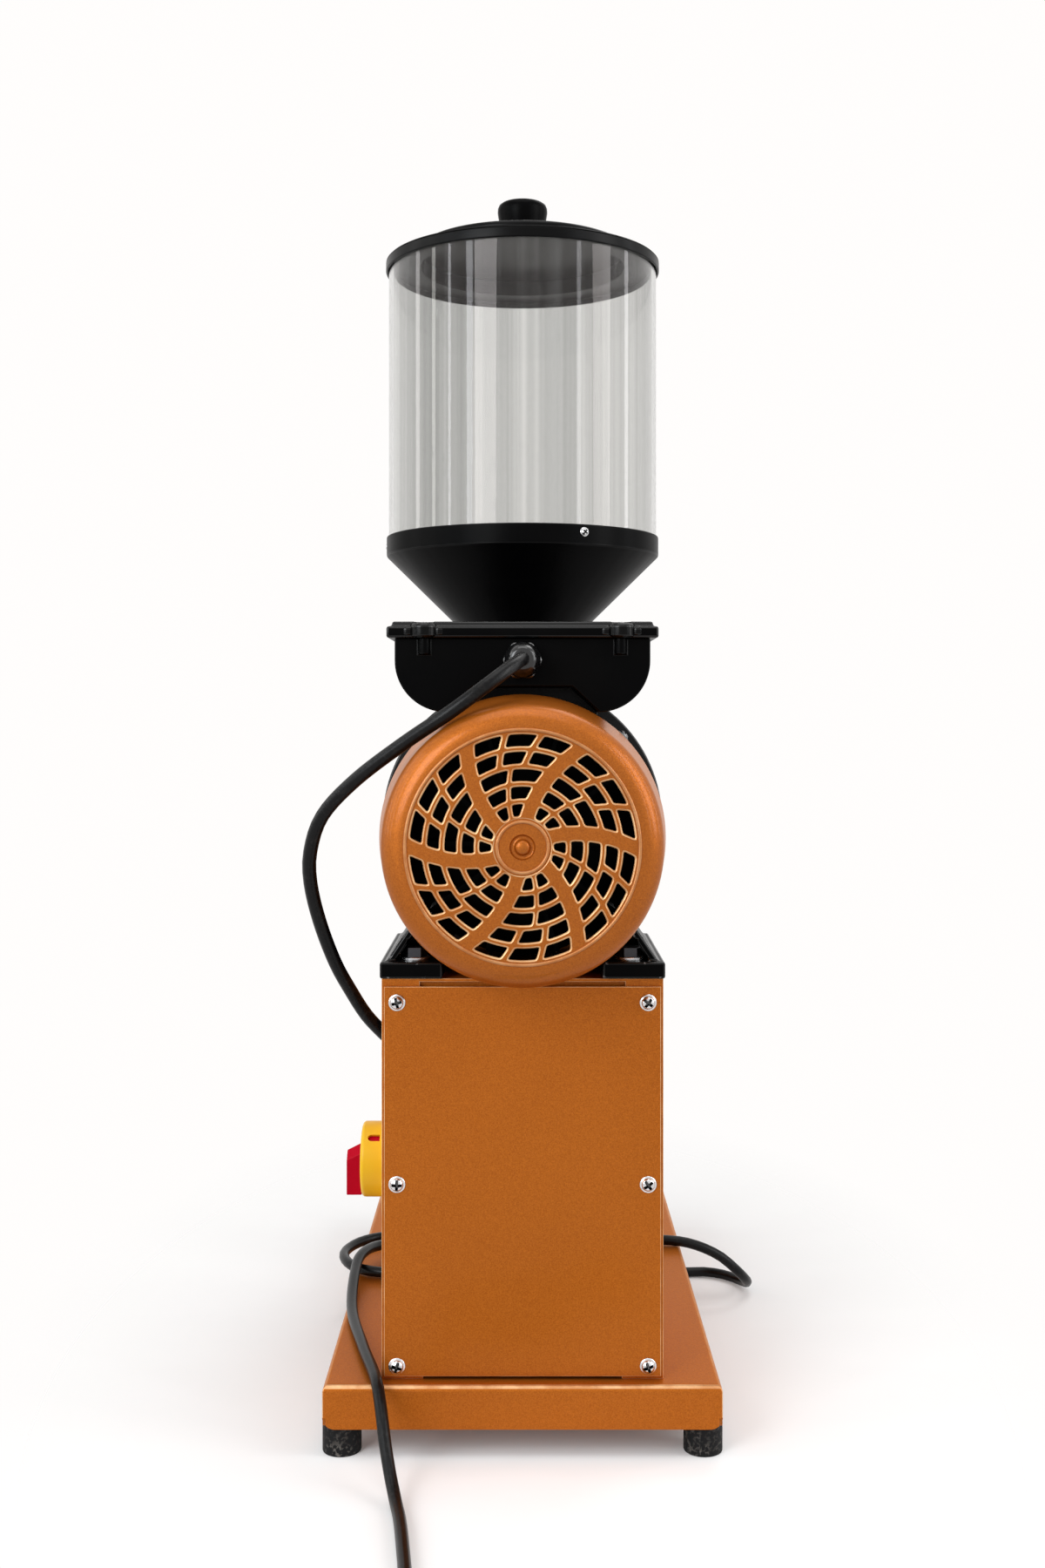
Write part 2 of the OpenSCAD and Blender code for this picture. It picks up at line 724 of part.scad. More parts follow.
/* Terminal box on the motor's saddle */
box_overhang = 26;
box_y0 = housing_y0 - box_overhang;
box_y1 = box_y0 + box_l;
box_top = box_z0 + box_h;
box_mid = (box_y0 + box_y1) / 2;
box_lug_x = 57;
box_lug_r = 7;
box_screw_l = 8;
lid_edge_h = 0.7 * box_lid_h;
gland_rise = 30;
gland_z = box_z0 + gland_rise;
box_boss_h = 9.5;
box_boss_r = 3.6;
gland_r = 8;
gland_nut_h = 7;
gland_dome_l = 13;

// Outline of the box, y up from the shaft
module box_outline(inset) {
    r = box_corner_r - inset;
    low = box_z0 - axis_z;
    intersection() {
        union() {
            for (side = [-1, 1]) translate([side * (box_w / 2 - box_corner_r), low + box_corner_r]) circle(r);
            translate([box_corner_r - box_w / 2, low + inset]) square([box_w - 2 * box_corner_r, box_h]);
            translate([inset - box_w / 2, low + box_corner_r]) square([box_w - 2 * inset, box_h]);
        }
        translate([-box_w / 2, low]) square([box_w, box_h]);
    }
}
module at_box_lugs() {
    for (y = [box_y0, box_y1]) both_sides() translate([box_lug_x, y, box_top]) children();
}
module terminal_box() {
    color("black") difference() {
        union() {
            slab_y(box_y0, box_y1) box_outline(0);
            at_box_lugs() translate([0, 0, -box_boss_h]) cylinder(r = box_boss_r, h = box_boss_h);
        }
        slab_y(box_y0 + box_wall, box_y1 - box_wall) difference() {
            union() {
                box_outline(box_wall);
                translate([box_wall - box_w / 2, box_top - axis_z - over])
                    square([box_w - 2 * box_wall, 2 * over]);
            }
            box_saddle(box_wall);
        }
        slab_y(box_y0 - over, box_y1 + over) box_saddle(run_fit);
        bar_y(gland_r + run_fit, box_y0 - over, box_y0 + box_wall + over, 0, gland_z);
        at_box_lugs() translate([0, 0, -box_screw_l]) cylinder(r = screw_hole_r, h = box_screw_l + over);
    }
}
module box_lid() {
    x = box_w / 2 + box_lid_lip;
    step = 3;
    color("black") difference() {
        union() {
            block([-x, box_y0 - box_lid_lip, box_top], [x, box_y1 + box_lid_lip, box_top + lid_edge_h]);
            block([step - x, box_y0 - box_lid_lip + step, box_top],
                  [x - step, box_y1 + box_lid_lip - step, box_top + box_lid_h]);
            at_box_lugs() cylinder(r = box_lug_r, h = lid_edge_h);
        }
        at_box_lugs() translate([0, 0, -over]) cylinder(r = screw_hole_r, h = box_lid_h + 2 * over);
        at_box_lugs() translate([0, 0, lid_edge_h]) cylinder(r = box_lug_r - 2, h = box_lid_h);
    }
}
module box_screws() {
    color("silver") at_box_lugs() translate([0, 0, lid_edge_h])
        pan_screw(small_head_d, screw_hole_r - run_fit, lid_edge_h + box_screw_l - over);
}
module cable_gland() {
    nut_r = 12.1;
    locknut_h = 5;
    tip_r = 7;
    color("black") {
        bar_y(gland_r, box_y0 - over, box_y0 + box_wall, 0, gland_z);
        translate([0, box_y0, gland_z]) rotate([90, 0, 0]) {
            cylinder(r = nut_r, h = gland_nut_h, $fn = 6);
            translate([0, 0, gland_nut_h - over])
                cylinder(r1 = nut_r - 2, r2 = tip_r, h = gland_dome_l + over);
        }
        translate([0, box_y0 + box_wall + locknut_h, gland_z]) rotate([90, 0, 0])
            cylinder(r = nut_r, h = locknut_h, $fn = 6);
    }
}
module capacitors() {
    r = min(box_corner_r / 2, box_h - box_corner_r - over);
    x = box_w / 2 - box_wall - gap - r;
    inset = box_wall + 8;
    color("gray") both_sides() bar_y(r, box_y0 + inset, box_y1 - inset, x, box_z0 + box_corner_r);
}
module terminal_block() {
    z = axis_z + box_pad_h + box_wall;
    half_w = 22;
    half_l = 9;
    h = 16;
    color("ivory") block([-half_w, box_mid - half_l, z], [half_w, box_mid + half_l, z + h]);
}

/* Grinding head */
neck_h = 121;
neck_top = axis_z + neck_h;
neck_wall = 6;
spigot_l = 22;
tunnel_y0 = flange_y1 + 3;
head_bolt_r = 4;
head_bolt_pcd = 128;
head_bolt_l = 12;
burr_disc_y0 = chamber_y0 + 2;
burr_disc_t = 8;
burr_y = burr_disc_y0 + burr_disc_t;
fixed_burr_y = burr_y + burr_t + burr_gap;
carrier_y = fixed_burr_y + burr_t;
carrier_t = 6;
stem_r = 14;
stem_l = 36;
cover_t = 8;
cover_y1 = chamber_y1 + cover_t;
front_bolt_r = 3;
front_bolt_l = 16;
front_bolt_ring = head_r - chamber_wall / 2;
guide_r = 3;
guide_ring = 46;
spout_y = (chamber_y0 + chamber_y1) / 2;
outlet_r = spout_d / 2 - spout_wall;
spout_z1 = axis_z - head_r - 6;
spout_flange_t = 5;
spout_flange_x = 36;
spout_screw_x = 30;
spout_screw_y = 12;
spout_screw_l = 9;

module at_head_bolts() {
    for (turn = [45 : 90 : 315])
        translate([head_bolt_pcd / 2 * cos(turn), 0, head_bolt_pcd / 2 * sin(turn)]) children();
}
module at_front_bolts() {
    for (turn = [0 : 60 : 300])
        translate([front_bolt_ring * cos(turn), 0, front_bolt_ring * sin(turn)]) children();
}
module at_spout_screws() {
    for (y = [-1, 1]) both_sides() translate([spout_screw_x, spout_y + y * spout_screw_y, 0]) children();
}
module head_housing() {
    boss_y = chamber_l / 2 - over;
    color("black") difference() {
        union() {
            bar_y(head_r, head_y0, flange_y1);
            bar_y(feed_body_d / 2, flange_y1 - over, chamber_y0 + over);
            bar_y(head_r, chamber_y0 - chamber_wall_back, chamber_y1);
            bar_z(throat_d / 2 + neck_wall, axis_z, neck_top, 0, hopper_y);
            block([-spout_flange_x, spout_y - boss_y, spout_z1],
                  [spout_flange_x, spout_y + boss_y, axis_z - 0.8 * head_r]);
        }
        bar_y(shaft_r + over, head_y0 - over, tunnel_y0 + over);
        bar_y(tunnel_d / 2, tunnel_y0, chamber_y0 + over);
        bar_y(head_r - chamber_wall, chamber_y0, chamber_y1 + over);
        bar_z(throat_d / 2 - funnel_wall, axis_z, neck_top + over, 0, hopper_y);
        bar_z(throat_d / 2 + run_fit, neck_top - spigot_l, neck_top + over, 0, hopper_y);
        bar_z(outlet_r, spout_z1 - over, axis_z - head_r / 2, 0, spout_y);
        at_head_bolts() bar_y(head_bolt_r + gap, head_y0 - over, flange_y1 + over);
        at_front_bolts()
            bar_y(front_bolt_r + run_fit, chamber_y1 - front_bolt_l - 2 * over, chamber_y1 + over);
        at_spout_screws() bar_z(screw_hole_r, spout_z1 - over, spout_z1 + spout_screw_l + over);
    }
}
module head_bolts() {
    color("dimgray") at_head_bolts() translate([0, flange_y1, axis_z]) rotate([-90, 0, 0])
        hex_bolt(head_bolt_r - run_fit, head_flange_t + head_bolt_l);
}
module feed_screw() {
    hub_r = shaft_r + 4;
    y0 = tunnel_y0 + 3;
    y1 = chamber_y0 - 1;
    screw_l = y1 - y0;
    color("silver") difference() {
        union() {
            bar_y(hub_r, y0, y1);
            translate([0, y1, axis_z]) rotate([90, 0, 0])
                linear_extrude(screw_l, twist = 360 * screw_l / screw_pitch, slices = 40, $fn = 8)
                    translate([hub_r - 2, -flight_t / 2]) square([screw_d / 2 - hub_r + 2, flight_t]);
        }
        bar_y(shaft_r + run_fit, y0 - over, y1 + over);
    }
}
module burr_disc() {
    window_r = 8;
    window_ring = (shaft_r + burr_hole_d / 2) / 2;
    color("gray") difference() {
        bar_y(burr_d / 2 + 2, burr_disc_y0, burr_y);
        bar_y(shaft_r + run_fit, burr_disc_y0 - over, burr_y + over);
        for (turn = [0 : 60 : 300])
            bar_y(window_r, burr_disc_y0 - over, burr_y + over,
                  window_ring * cos(turn), axis_z + window_ring * sin(turn));
    }
}
// A burr whose teeth face +Y, standing on y = 0
module burr_ring() {
    groove_d = 2;
    groove_w = 4;
    groove_turn = 22;
    difference() {
        rotate([90, 0, 0]) translate([0, 0, -burr_t]) difference() {
            cylinder(d = burr_d, h = burr_t);
            translate([0, 0, -over]) cylinder(d = burr_hole_d, h = burr_t + 2 * over);
        }
        for (i = [0 : burr_teeth - 1])
            rotate([0, (i + 0.5) * 360 / burr_teeth, 0]) translate([burr_hole_d / 2 - groove_w, burr_t, 0])
                rotate([0, groove_turn, 0]) rotate([90, 0, 90]) linear_extrude(burr_d)
                    polygon([[0, over], [0, -groove_d], [-groove_w, over]]);
    }
}
module rotating_burr() {
    color("silver") translate([0, burr_y, axis_z]) burr_ring();
}
module stationary_burr() {
    color("silver") translate([0, carrier_y, axis_z]) mirror([0, 1, 0]) burr_ring();
}
module burr_carrier() {
    color("gray") difference() {
        union() {
            bar_y(burr_d / 2 + 2, carrier_y, carrier_y + carrier_t);
            bar_y(stem_r, carrier_y, carrier_y + carrier_t + stem_l);
        }
        for (side = [-1, 1])
            bar_y(guide_r + run_fit, carrier_y - over, carrier_y + carrier_t + over, side * guide_ring);
    }
}
module front_cover() {
    color("black") difference() {
        union() {
            bar_y(head_r, chamber_y1, cover_y1);
            for (side = [-1, 1]) bar_y(guide_r, carrier_y + 2, chamber_y1 + over, side * guide_ring);
        }
        bar_y(stem_r + run_fit, chamber_y1 - over, cover_y1 + over);
        at_front_bolts() bar_y(front_bolt_r + run_fit, chamber_y1 - over, cover_y1 + over);
    }
}
module front_bolts() {
    color("silver") at_front_bolts() translate([0, cover_y1, axis_z]) rotate([-90, 0, 0])
        hex_bolt(front_bolt_r, cover_t + front_bolt_l);
}

/* Grind adjustment */
hub_flange_r = 30;
hub_flange_t = 5;
hub_neck_r = 24;
retainer_t = hub_flange_t + 2 * gap + 3;
wheel_y0 = cover_y1 + retainer_t + gap;
wheel_t = 22;

module wheel_retainer() {
    color("dimgray") difference() {
        bar_y(hub_flange_r + 9, cover_y1, cover_y1 + retainer_t);
        bar_y(hub_flange_r + gap, cover_y1 - over, cover_y1 + hub_flange_t + 2 * gap);
        bar_y(hub_neck_r + gap, cover_y1, cover_y1 + retainer_t + over);
    }
}
module adjusting_wheel() {
    r = wheel_d / 2;
    lobe_r = 3.1 * r / wheel_lobes * 0.62;
    stem_end = carrier_y + carrier_t + stem_l;
    wheel_y1 = max(wheel_y0 + wheel_t, stem_end + 6);
    color("black") difference() {
        union() {
            bar_y(hub_flange_r, cover_y1 + gap, cover_y1 + gap + hub_flange_t);
            bar_y(hub_neck_r, cover_y1 + gap, wheel_y1);
            slab_y(wheel_y0, wheel_y0 + wheel_t) difference() {
                circle(r);
                for (i = [0 : wheel_lobes - 1])
                    rotate(i * 360 / wheel_lobes) translate([r + 0.45 * lobe_r, 0]) circle(lobe_r);
            }
        }
        ring_y(0.62 * r, hub_neck_r + 2, wheel_y0 + wheel_t - 6, wheel_y1 + over);
        bar_y(stem_r + run_fit, cover_y1, stem_end + 3);
    }
}

/* Spout and its bag clip */
clip_out = 6;
clip_drop = 26;
clip_y = spout_y + spout_d / 2 + clip_out;
clip_z = spout_z1 - clip_drop;
clip_pin_r = 2;
clip_barrel_r = 4.5;
clip_w = 26;
ear_t = 4;
ear_r = 5;

module spout() {
    color("silver") difference() {
        union() {
            block([-spout_flange_x, spout_y - chamber_l / 2 + over, spout_z1 - spout_flange_t],
                  [spout_flange_x, spout_y + chamber_l / 2 - over, spout_z1]);
            bar_z(spout_d / 2, spout_z1 - spout_flange_t - spout_l, spout_z1, 0, spout_y);
            for (side = [-1, 1]) translate([side * (clip_w / 2 + gap + ear_t / 2), 0, 0]) {
                block([-ear_t / 2, spout_y, clip_z - ear_r], [ear_t / 2, clip_y, clip_z + ear_r]);
                bar_x(ear_r, -ear_t / 2, ear_t / 2, clip_y, clip_z);
            }
        }
        bar_z(outlet_r, spout_z1 - spout_flange_t - spout_l - over, spout_z1 + over, 0, spout_y);
        bar_x(clip_pin_r, -clip_w, clip_w, clip_y, clip_z);
        at_spout_screws() bar_z(screw_hole_r, spout_z1 - spout_flange_t - over, spout_z1 + over);
    }
}
module spout_screws() {
    color("silver") at_spout_screws() translate([0, 0, spout_z1 - spout_flange_t]) mirror([0, 0, 1])
        pan_screw(small_head_d - over, screw_hole_r - run_fit, spout_flange_t + spout_screw_l);
}
module bag_clip() {
    plate_t = 2;
    jaw_l = 40;
    tab_l = 22;
    color("silver") difference() {
        union() {
            bar_x(clip_barrel_r, -clip_w / 2, clip_w / 2, clip_y, clip_z);
            block([-clip_w / 2, spout_y + spout_d / 2 + gap, clip_z - jaw_l],
                  [clip_w / 2, spout_y + spout_d / 2 + gap + plate_t, clip_z + clip_pin_r / 2]);
            translate([0, clip_y, clip_z]) rotate([-40, 0, 0])
                block([-clip_w / 2, 1, 0], [clip_w / 2, 1 + plate_t, tab_l]);
        }
        bar_x(clip_pin_r + run_fit, -clip_w, clip_w, clip_y, clip_z);
    }
}
module clip_pin() {
    half = clip_w / 2 + gap + ear_t;
    color("gray") bar_x(clip_pin_r, -half, half, clip_y, clip_z);
}

/* Hopper */
tube_r = tube_d / 2;
throat_r = throat_d / 2;
rim_r = tube_r + 1.5;
rim_z0 = neck_top + (rim_r - throat_r) * cone_slope;
tube_z0 = rim_z0 + 1.5;
tube_z1 = tube_z0 + tube_l;
lid_plate_t = 4;
lid_skirt = 4;
lid_z1 = tube_z1 + gap + lid_plate_t;
step_z1 = lid_z1 + lid_step_h;
funnel_screw_phase = 25;

module at_hopper() {
    translate([0, hopper_y, 0]) children();
}
module at_funnel_screws() {
    for (turn = [0 : 120 : 240])
        translate([0, hopper_y, rim_z0 + rim_h * 0.62]) rotate([0, 0, funnel_screw_phase + turn])
            translate([0, -rim_r, 0]) rotate([90, 0, 0]) children();
}
module hopper_funnel() {
    color("black") difference() {
        at_hopper() rotate_extrude() difference() {
            union() {
                translate([0, neck_top - spigot_l]) square([throat_r, spigot_l]);
                polygon([[0, neck_top], [throat_r, neck_top], [rim_r, rim_z0], [0, rim_z0]]);
                translate([0, rim_z0]) square([rim_r, rim_h]);
            }
            translate([0, neck_top - spigot_l - over])
                square([throat_r - funnel_wall, spigot_l + 2 * over]);
            polygon([[0, neck_top], [throat_r - funnel_wall, neck_top],
                     [tube_r - tube_wall, tube_z0], [0, tube_z0]]);
            translate([0, tube_z0]) square([tube_r + run_fit, rim_h + over]);
        }
        at_funnel_screws() translate([0, 0, -3]) cylinder(r = 1.5, h = 6);
    }
}
module hopper_tube() {
    color([0.8, 0.85, 0.9, 0.4]) difference() {
        at_hopper() rotate_extrude() translate([tube_r - tube_wall, tube_z0]) square([tube_wall, tube_l]);
        at_funnel_screws() translate([0, 0, -12]) cylinder(r = 1.5, h = 14);
    }
}
module funnel_screws() {
    color("silver") at_funnel_screws() pan_screw(6, 1.5 - run_fit, 5);
}
module hopper_lid() {
    r = lid_d / 2;
    wall = 3;
    color("black") at_hopper() rotate_extrude() difference() {
        union() {
            translate([0, tube_z1 + gap - lid_skirt]) square([r, lid_plate_t + lid_skirt - 1]);
            translate([0, lid_z1 - 1]) square([r - 1, 1]);
            square_top = step_z1 - lid_z1;
            translate([0, lid_z1 - over]) square([lid_step_d / 2 - 3, square_top + over]);
            translate([0, lid_z1 - over]) square([lid_step_d / 2, square_top - 3 + over]);
            translate([lid_step_d / 2 - 3, step_z1 - 3]) circle(3);
        }
        translate([0, tube_z1 + gap - lid_skirt - over]) square([tube_r + gap, lid_skirt + over]);
        translate([0, tube_z1]) square([lid_step_d / 2 - wall, lid_step_h + lid_plate_t - wall]);
    }
}
module lid_knob() {
    r = knob_d / 2;
    edge = 3;
    waist_r = 30;
    waist_cut = 1.6;
    color("black") at_hopper() rotate_extrude() difference() {
        union() {
            translate([0, step_z1]) square([r - edge, knob_h]);
            translate([0, step_z1]) square([r, knob_h - edge]);
            translate([r - edge, step_z1 + knob_h - edge]) circle(edge);
        }
        translate([r + waist_r - waist_cut, step_z1 + 0.45 * knob_h]) circle(waist_r);
    }
}

/* Cables: the route points are where each cable's centre lies */
cable_d = 8;
lead_d = 7;
ring_step = 24;
gland_end = [0, box_y0 - gland_nut_h - gland_dome_l, gland_z];
grommet_mid = [-col_x, grommet_y, grommet_z];
switch_entry = [20 - col_in_x, switch_y - 3, switch_z + switch_body_w / 2];
cable_route = concat(
    [for (p = [[0, 0, 0], [0, -5, 0], [0, -10, 0], [-2.5, -19.5, -2], [-8.3, -30.2, -6.6],
               [-20.3, -38.8, -16], [-39.8, -39.4, -30.4], [-65.7, -31.2, -47.6], [-92.7, -22.1, -67.8],
               [-112, -13, -87.9], [-120, -4.1, -108.7], [-121, 4.2, -127.4]]) gland_end + p],
    [for (p = [[-35.9, -30.8, 72.6], [-28.2, -20.2, 47.5], [-19.5, -11.3, 28.7], [-11.4, -5, 14.1],
               [-2.2, -0.5, 3], [8.1, 1.1, -7.3]]) grommet_mid + p],
    [for (p = [[-5.2, -1.9, 31.6], [-0.5, -0.2, 18.8], [0, 0, 8], [0, 0, 0]]) switch_entry + p]);
lead_route = [
    [40, 118, 28], [46, 118, 28], [52, 118, 28], [64.7, 118, 25], [79.3, 118, 18.3], [93.6, 118, 10.7],
    [107.8, 118, 5.5], [122.2, 117.9, 4], [136.8, 118.2, 4.2], [150.2, 112.7, 4.1], [159.5, 102.7, 4],
    [163.9, 90.8, 5.7], [164.1, 79.3, 10.1], [160.4, 69.6, 16.5], [153.2, 62.9, 25], [143.1, 60.7, 34],
    [131.1, 60.1, 40.4], [118.6, 60, 44.5], [106.3, 60.8, 46], [90, 62, 46], [40, 65, 46], [-25, 71, 46],
    [-83, 73, 46], [-113, 61, 46], [-125, 31, 46], [-113, 1, 46], [-83, -11, 46], [-40, -13, 46],
    [8, -15, 46], [24.5, -10.6, 46], [36.6, 1.5, 46], [41, 18, 46], [36.6, 34.5, 46], [24.5, 46.6, 46],
    [8, 51, 46], [-30, 50.5, 46], [-68, 48, 48], [-98, 35, 51], [-110, 6, 54], [-112, -25, 51],
    [-108, -80, 46], [-95, -142, 46], [-86, -178, 46], [-81.5, -198.1, 44.6], [-78.2, -212.2, 35.9],
    [-75.1, -223.7, 23.3], [-71.5, -234.9, 11.8], [-67.5, -249.2, 4.3], [-63, -275, 4], [-56, -335, 4],
    [-54, -362, 5], [-54, -369, 5], [-54, -376, 5]
];
coil_x = -10;
coil_y = -388;
coil_z = 5;
coil_r = 44;
coil_gap = 0.8;
coil_turns = 1.375;
coil_rings = 24;
tie_t = 0.8;
tie_w = 9;

function unit(v) = v / norm(v);
function bend(p, i, t) = let (
    a = p[max(i - 1, 0)], b = p[i], c = p[i + 1], d = p[min(i + 2, len(p) - 1)])
    b + (c - a) * t / 2 + (2 * a - 5 * b + 4 * c - d) * t * t / 2 + (3 * b - a - 3 * c + d) * t * t * t / 2;
function ring_count(v) = max(round(norm(v) / ring_step), 1);
function smooth_route(p) = concat(
    [for (i = [0 : len(p) - 2], n = [ring_count(p[i + 1] - p[i])], k = [0 : n - 1]) bend(p, i, k / n)],
    [p[len(p) - 1]]);
function headings(p) = [for (i = [0 : len(p) - 1]) unit(p[min(i + 1, len(p) - 1)] - p[max(i - 1, 0)])];
function carried(h, i, n) = i == len(h) ? [] :
    let (m = unit(n - (n * h[i]) * h[i])) concat([m], carried(h, i + 1, m));

// A round cable of the given number of sides along a list of points
module cable_tube(p, d, sides) {
    h = headings(p);
    m = carried(h, 0, cross(h[0], [0.3, 0.2, 1]));
    last = (len(p) - 1) * sides;
    points = [for (i = [0 : len(p) - 1], k = [0 : sides - 1])
        p[i] + d / 2 * (cos(360 * k / sides) * m[i] + sin(360 * k / sides) * cross(h[i], m[i]))];
    sides_a = [for (i = [0 : len(p) - 2], k = [0 : sides - 1])
        [i * sides + k, (i + 1) * sides + k, i * sides + (k + 1) % sides]];
    sides_b = [for (i = [0 : len(p) - 2], k = [0 : sides - 1])
        [i * sides + (k + 1) % sides, (i + 1) * sides + k, (i + 1) * sides + (k + 1) % sides]];
    caps = concat(
        [for (k = [1 : sides - 2]) [0, k, k + 1]],
        [for (k = [1 : sides - 2]) [last, last + k + 1, last + k]]);
    polyhedron(points, concat(sides_a, sides_b, caps));
}
// The coil's lower layer winds in, climbs for half a turn and winds out again on top
coil_pitch = lead_d + coil_gap;
coil_total = 2 * coil_turns + 0.5;
function coil_radius(t) = coil_r - coil_pitch * min(t, coil_total - t);
function coil_height(t) = coil_z + coil_pitch * min(max((t - coil_turns) / 0.5, 0), 1);
function coil_point(t) = [
    coil_x - coil_radius(t) * cos(360 * t), coil_y - coil_radius(t) * sin(360 * t), coil_height(t)];
coil_end = coil_point(coil_total);
coil_path = concat(
    [[coil_x - coil_r, coil_y + 12, coil_z]],
    [for (i = [0 : coil_total * coil_rings]) coil_point(i / coil_rings)],
    [coil_end + [12, 0, 0], coil_end + [24, 0, 0]]);
coil_clear = min([for (i = [0 : len(coil_path) - 1], j = [i + 12 : 1 : len(coil_path) - 1])
    norm(coil_path[i] - coil_path[j])]) - lead_d;
echo(coil_clear = coil_clear);

module motor_cable() {
    color("dimgray") cable_tube(smooth_route(cable_route), cable_d, 10);
}
module mains_lead() {
    color("dimgray") cable_tube(smooth_route(lead_route), lead_d, 10);
}
module mains_coil() {
    color("dimgray") cable_tube(coil_path, lead_d, 6);
}
// Sleeve on a block under the base plate, where the mains lead comes out
module mains_grip() {
    start = lead_route[0];
    grip_l = 24;
    color("black") {
        translate(start - [grip_l, 0, 0]) rotate([0, 90, 0]) cylinder(r1 = 8, r2 = 5, h = grip_l);
        block([start[0] - grip_l - 16, start[1] - 12, start[2] - 9],
              [start[0] - grip_l, start[1] + 12, base_top - sheet]);
    }
}
module cord_tie() {
    r_in = coil_radius(coil_total / 2) - lead_d / 2 - 0.5;
    r_out = coil_r + lead_d / 2 + 0.5;
    high = coil_z + coil_pitch + lead_d / 2 + 0.4;
    color("black") translate([coil_x, coil_y, 0]) difference() {
        block([r_in - tie_t, -tie_w / 2, 0], [r_out + tie_t, tie_w / 2, high + tie_t]);
        block([r_in, -tie_w, tie_t], [r_out, tie_w, high]);
    }
}
module mains_plug() {
    start = coil_end + [24, 0, 0];
    sleeve_l = 26;
    body_l = 36;
    body_r = start[2];
    pin_l = 19;
    pin_gap = 19;
    body_w = 38;
    color("black") translate(start) {
        rotate([0, 90, 0]) cylinder(r1 = 4.6, r2 = 7, h = sleeve_l + over);
        block([sleeve_l, -body_w / 2 + 4, -body_r], [sleeve_l + body_l - 6, body_w / 2 - 4, body_r]);
        block([sleeve_l + 8, -body_w / 2, -body_r], [sleeve_l + body_l, body_w / 2, body_r]);
        for (side = [-1, 1]) translate([sleeve_l + body_l - over, side * pin_gap / 2, 0])
            rotate([0, 90, 0]) cylinder(d = 4.8, h = pin_l + over);
    }
}

base_pan();
rubber_feet();
column_shell();
column_bolts();
rear_cover();
cover_screws();
switch_plate_yellow();
switch_body();
switch_handle();
cable_grommet();
motor_feet();
foot_bolts();
motor_housing();
rear_end_shield();
front_end_shield();
rear_bearing();
front_bearing();
stator_core();
rotor_core();
motor_shaft();
cooling_fan();
fan_cowl();
cowl_screws();
terminal_box();
box_lid();
box_screws();
cable_gland();
capacitors();
terminal_block();
head_housing();
head_bolts();
feed_screw();
burr_disc();
rotating_burr();
stationary_burr();
burr_carrier();
front_cover();
front_bolts();
adjusting_wheel();
wheel_retainer();
spout();
spout_screws();
bag_clip();
clip_pin();
hopper_funnel();
hopper_tube();
funnel_screws();
hopper_lid();
lid_knob();
motor_cable();
mains_grip();
mains_lead();
mains_coil();
cord_tie();
mains_plug();
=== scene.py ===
import bmesh
import bpy
import json
import math
from mathutils import Matrix, Vector


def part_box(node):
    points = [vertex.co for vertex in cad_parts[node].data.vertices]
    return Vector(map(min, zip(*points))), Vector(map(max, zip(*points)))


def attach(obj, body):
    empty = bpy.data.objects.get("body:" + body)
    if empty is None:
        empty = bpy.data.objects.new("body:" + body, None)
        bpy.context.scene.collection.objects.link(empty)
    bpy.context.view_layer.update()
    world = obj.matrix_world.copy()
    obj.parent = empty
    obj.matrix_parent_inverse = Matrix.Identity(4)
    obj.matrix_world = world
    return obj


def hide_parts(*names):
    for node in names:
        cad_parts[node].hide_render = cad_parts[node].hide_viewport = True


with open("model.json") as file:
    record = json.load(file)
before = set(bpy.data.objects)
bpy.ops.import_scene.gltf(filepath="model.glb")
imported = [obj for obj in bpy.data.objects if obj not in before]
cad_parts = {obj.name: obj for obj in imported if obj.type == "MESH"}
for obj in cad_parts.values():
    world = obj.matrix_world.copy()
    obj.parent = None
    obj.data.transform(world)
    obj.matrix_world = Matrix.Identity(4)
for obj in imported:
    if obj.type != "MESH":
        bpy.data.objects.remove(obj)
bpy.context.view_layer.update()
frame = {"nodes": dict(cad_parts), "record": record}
nodes = frame["nodes"]
record = frame["record"]
slotOf = {part["node"]: part["material_slot"] for part in record["subparts"]}
bodyOf = {name: body for body, members in record["behaviour"]["bodies"].items() for name in members}
mm = 0.001
weld = 2e-6  # points nearer than this, in metres, are one
pole = 0.001  # radius in mm at which an outline meets its axis
print("frame loaded with", len(nodes), "nodes")


# shader nodes: a wire is a socket whose arithmetic adds Math nodes
class Wire:
    def __init__(self, finish, socket):
        self.finish, self.socket = finish, socket

    def calc(self, operation, a, b):
        return self.finish.add("ShaderNodeMath", {"operation": operation}, {0: a, 1: b})

    def __add__(self, other):
        return self.calc("ADD", self, other)

    def __sub__(self, other):
        return self.calc("SUBTRACT", self, other)

    def __rsub__(self, other):
        return self.calc("SUBTRACT", other, self)

    def __mul__(self, other):
        return self.calc("MULTIPLY", self, other)

    def larger(self, other):
        return self.calc("MAXIMUM", self, other)

    __radd__ = __add__
    __rmul__ = __mul__


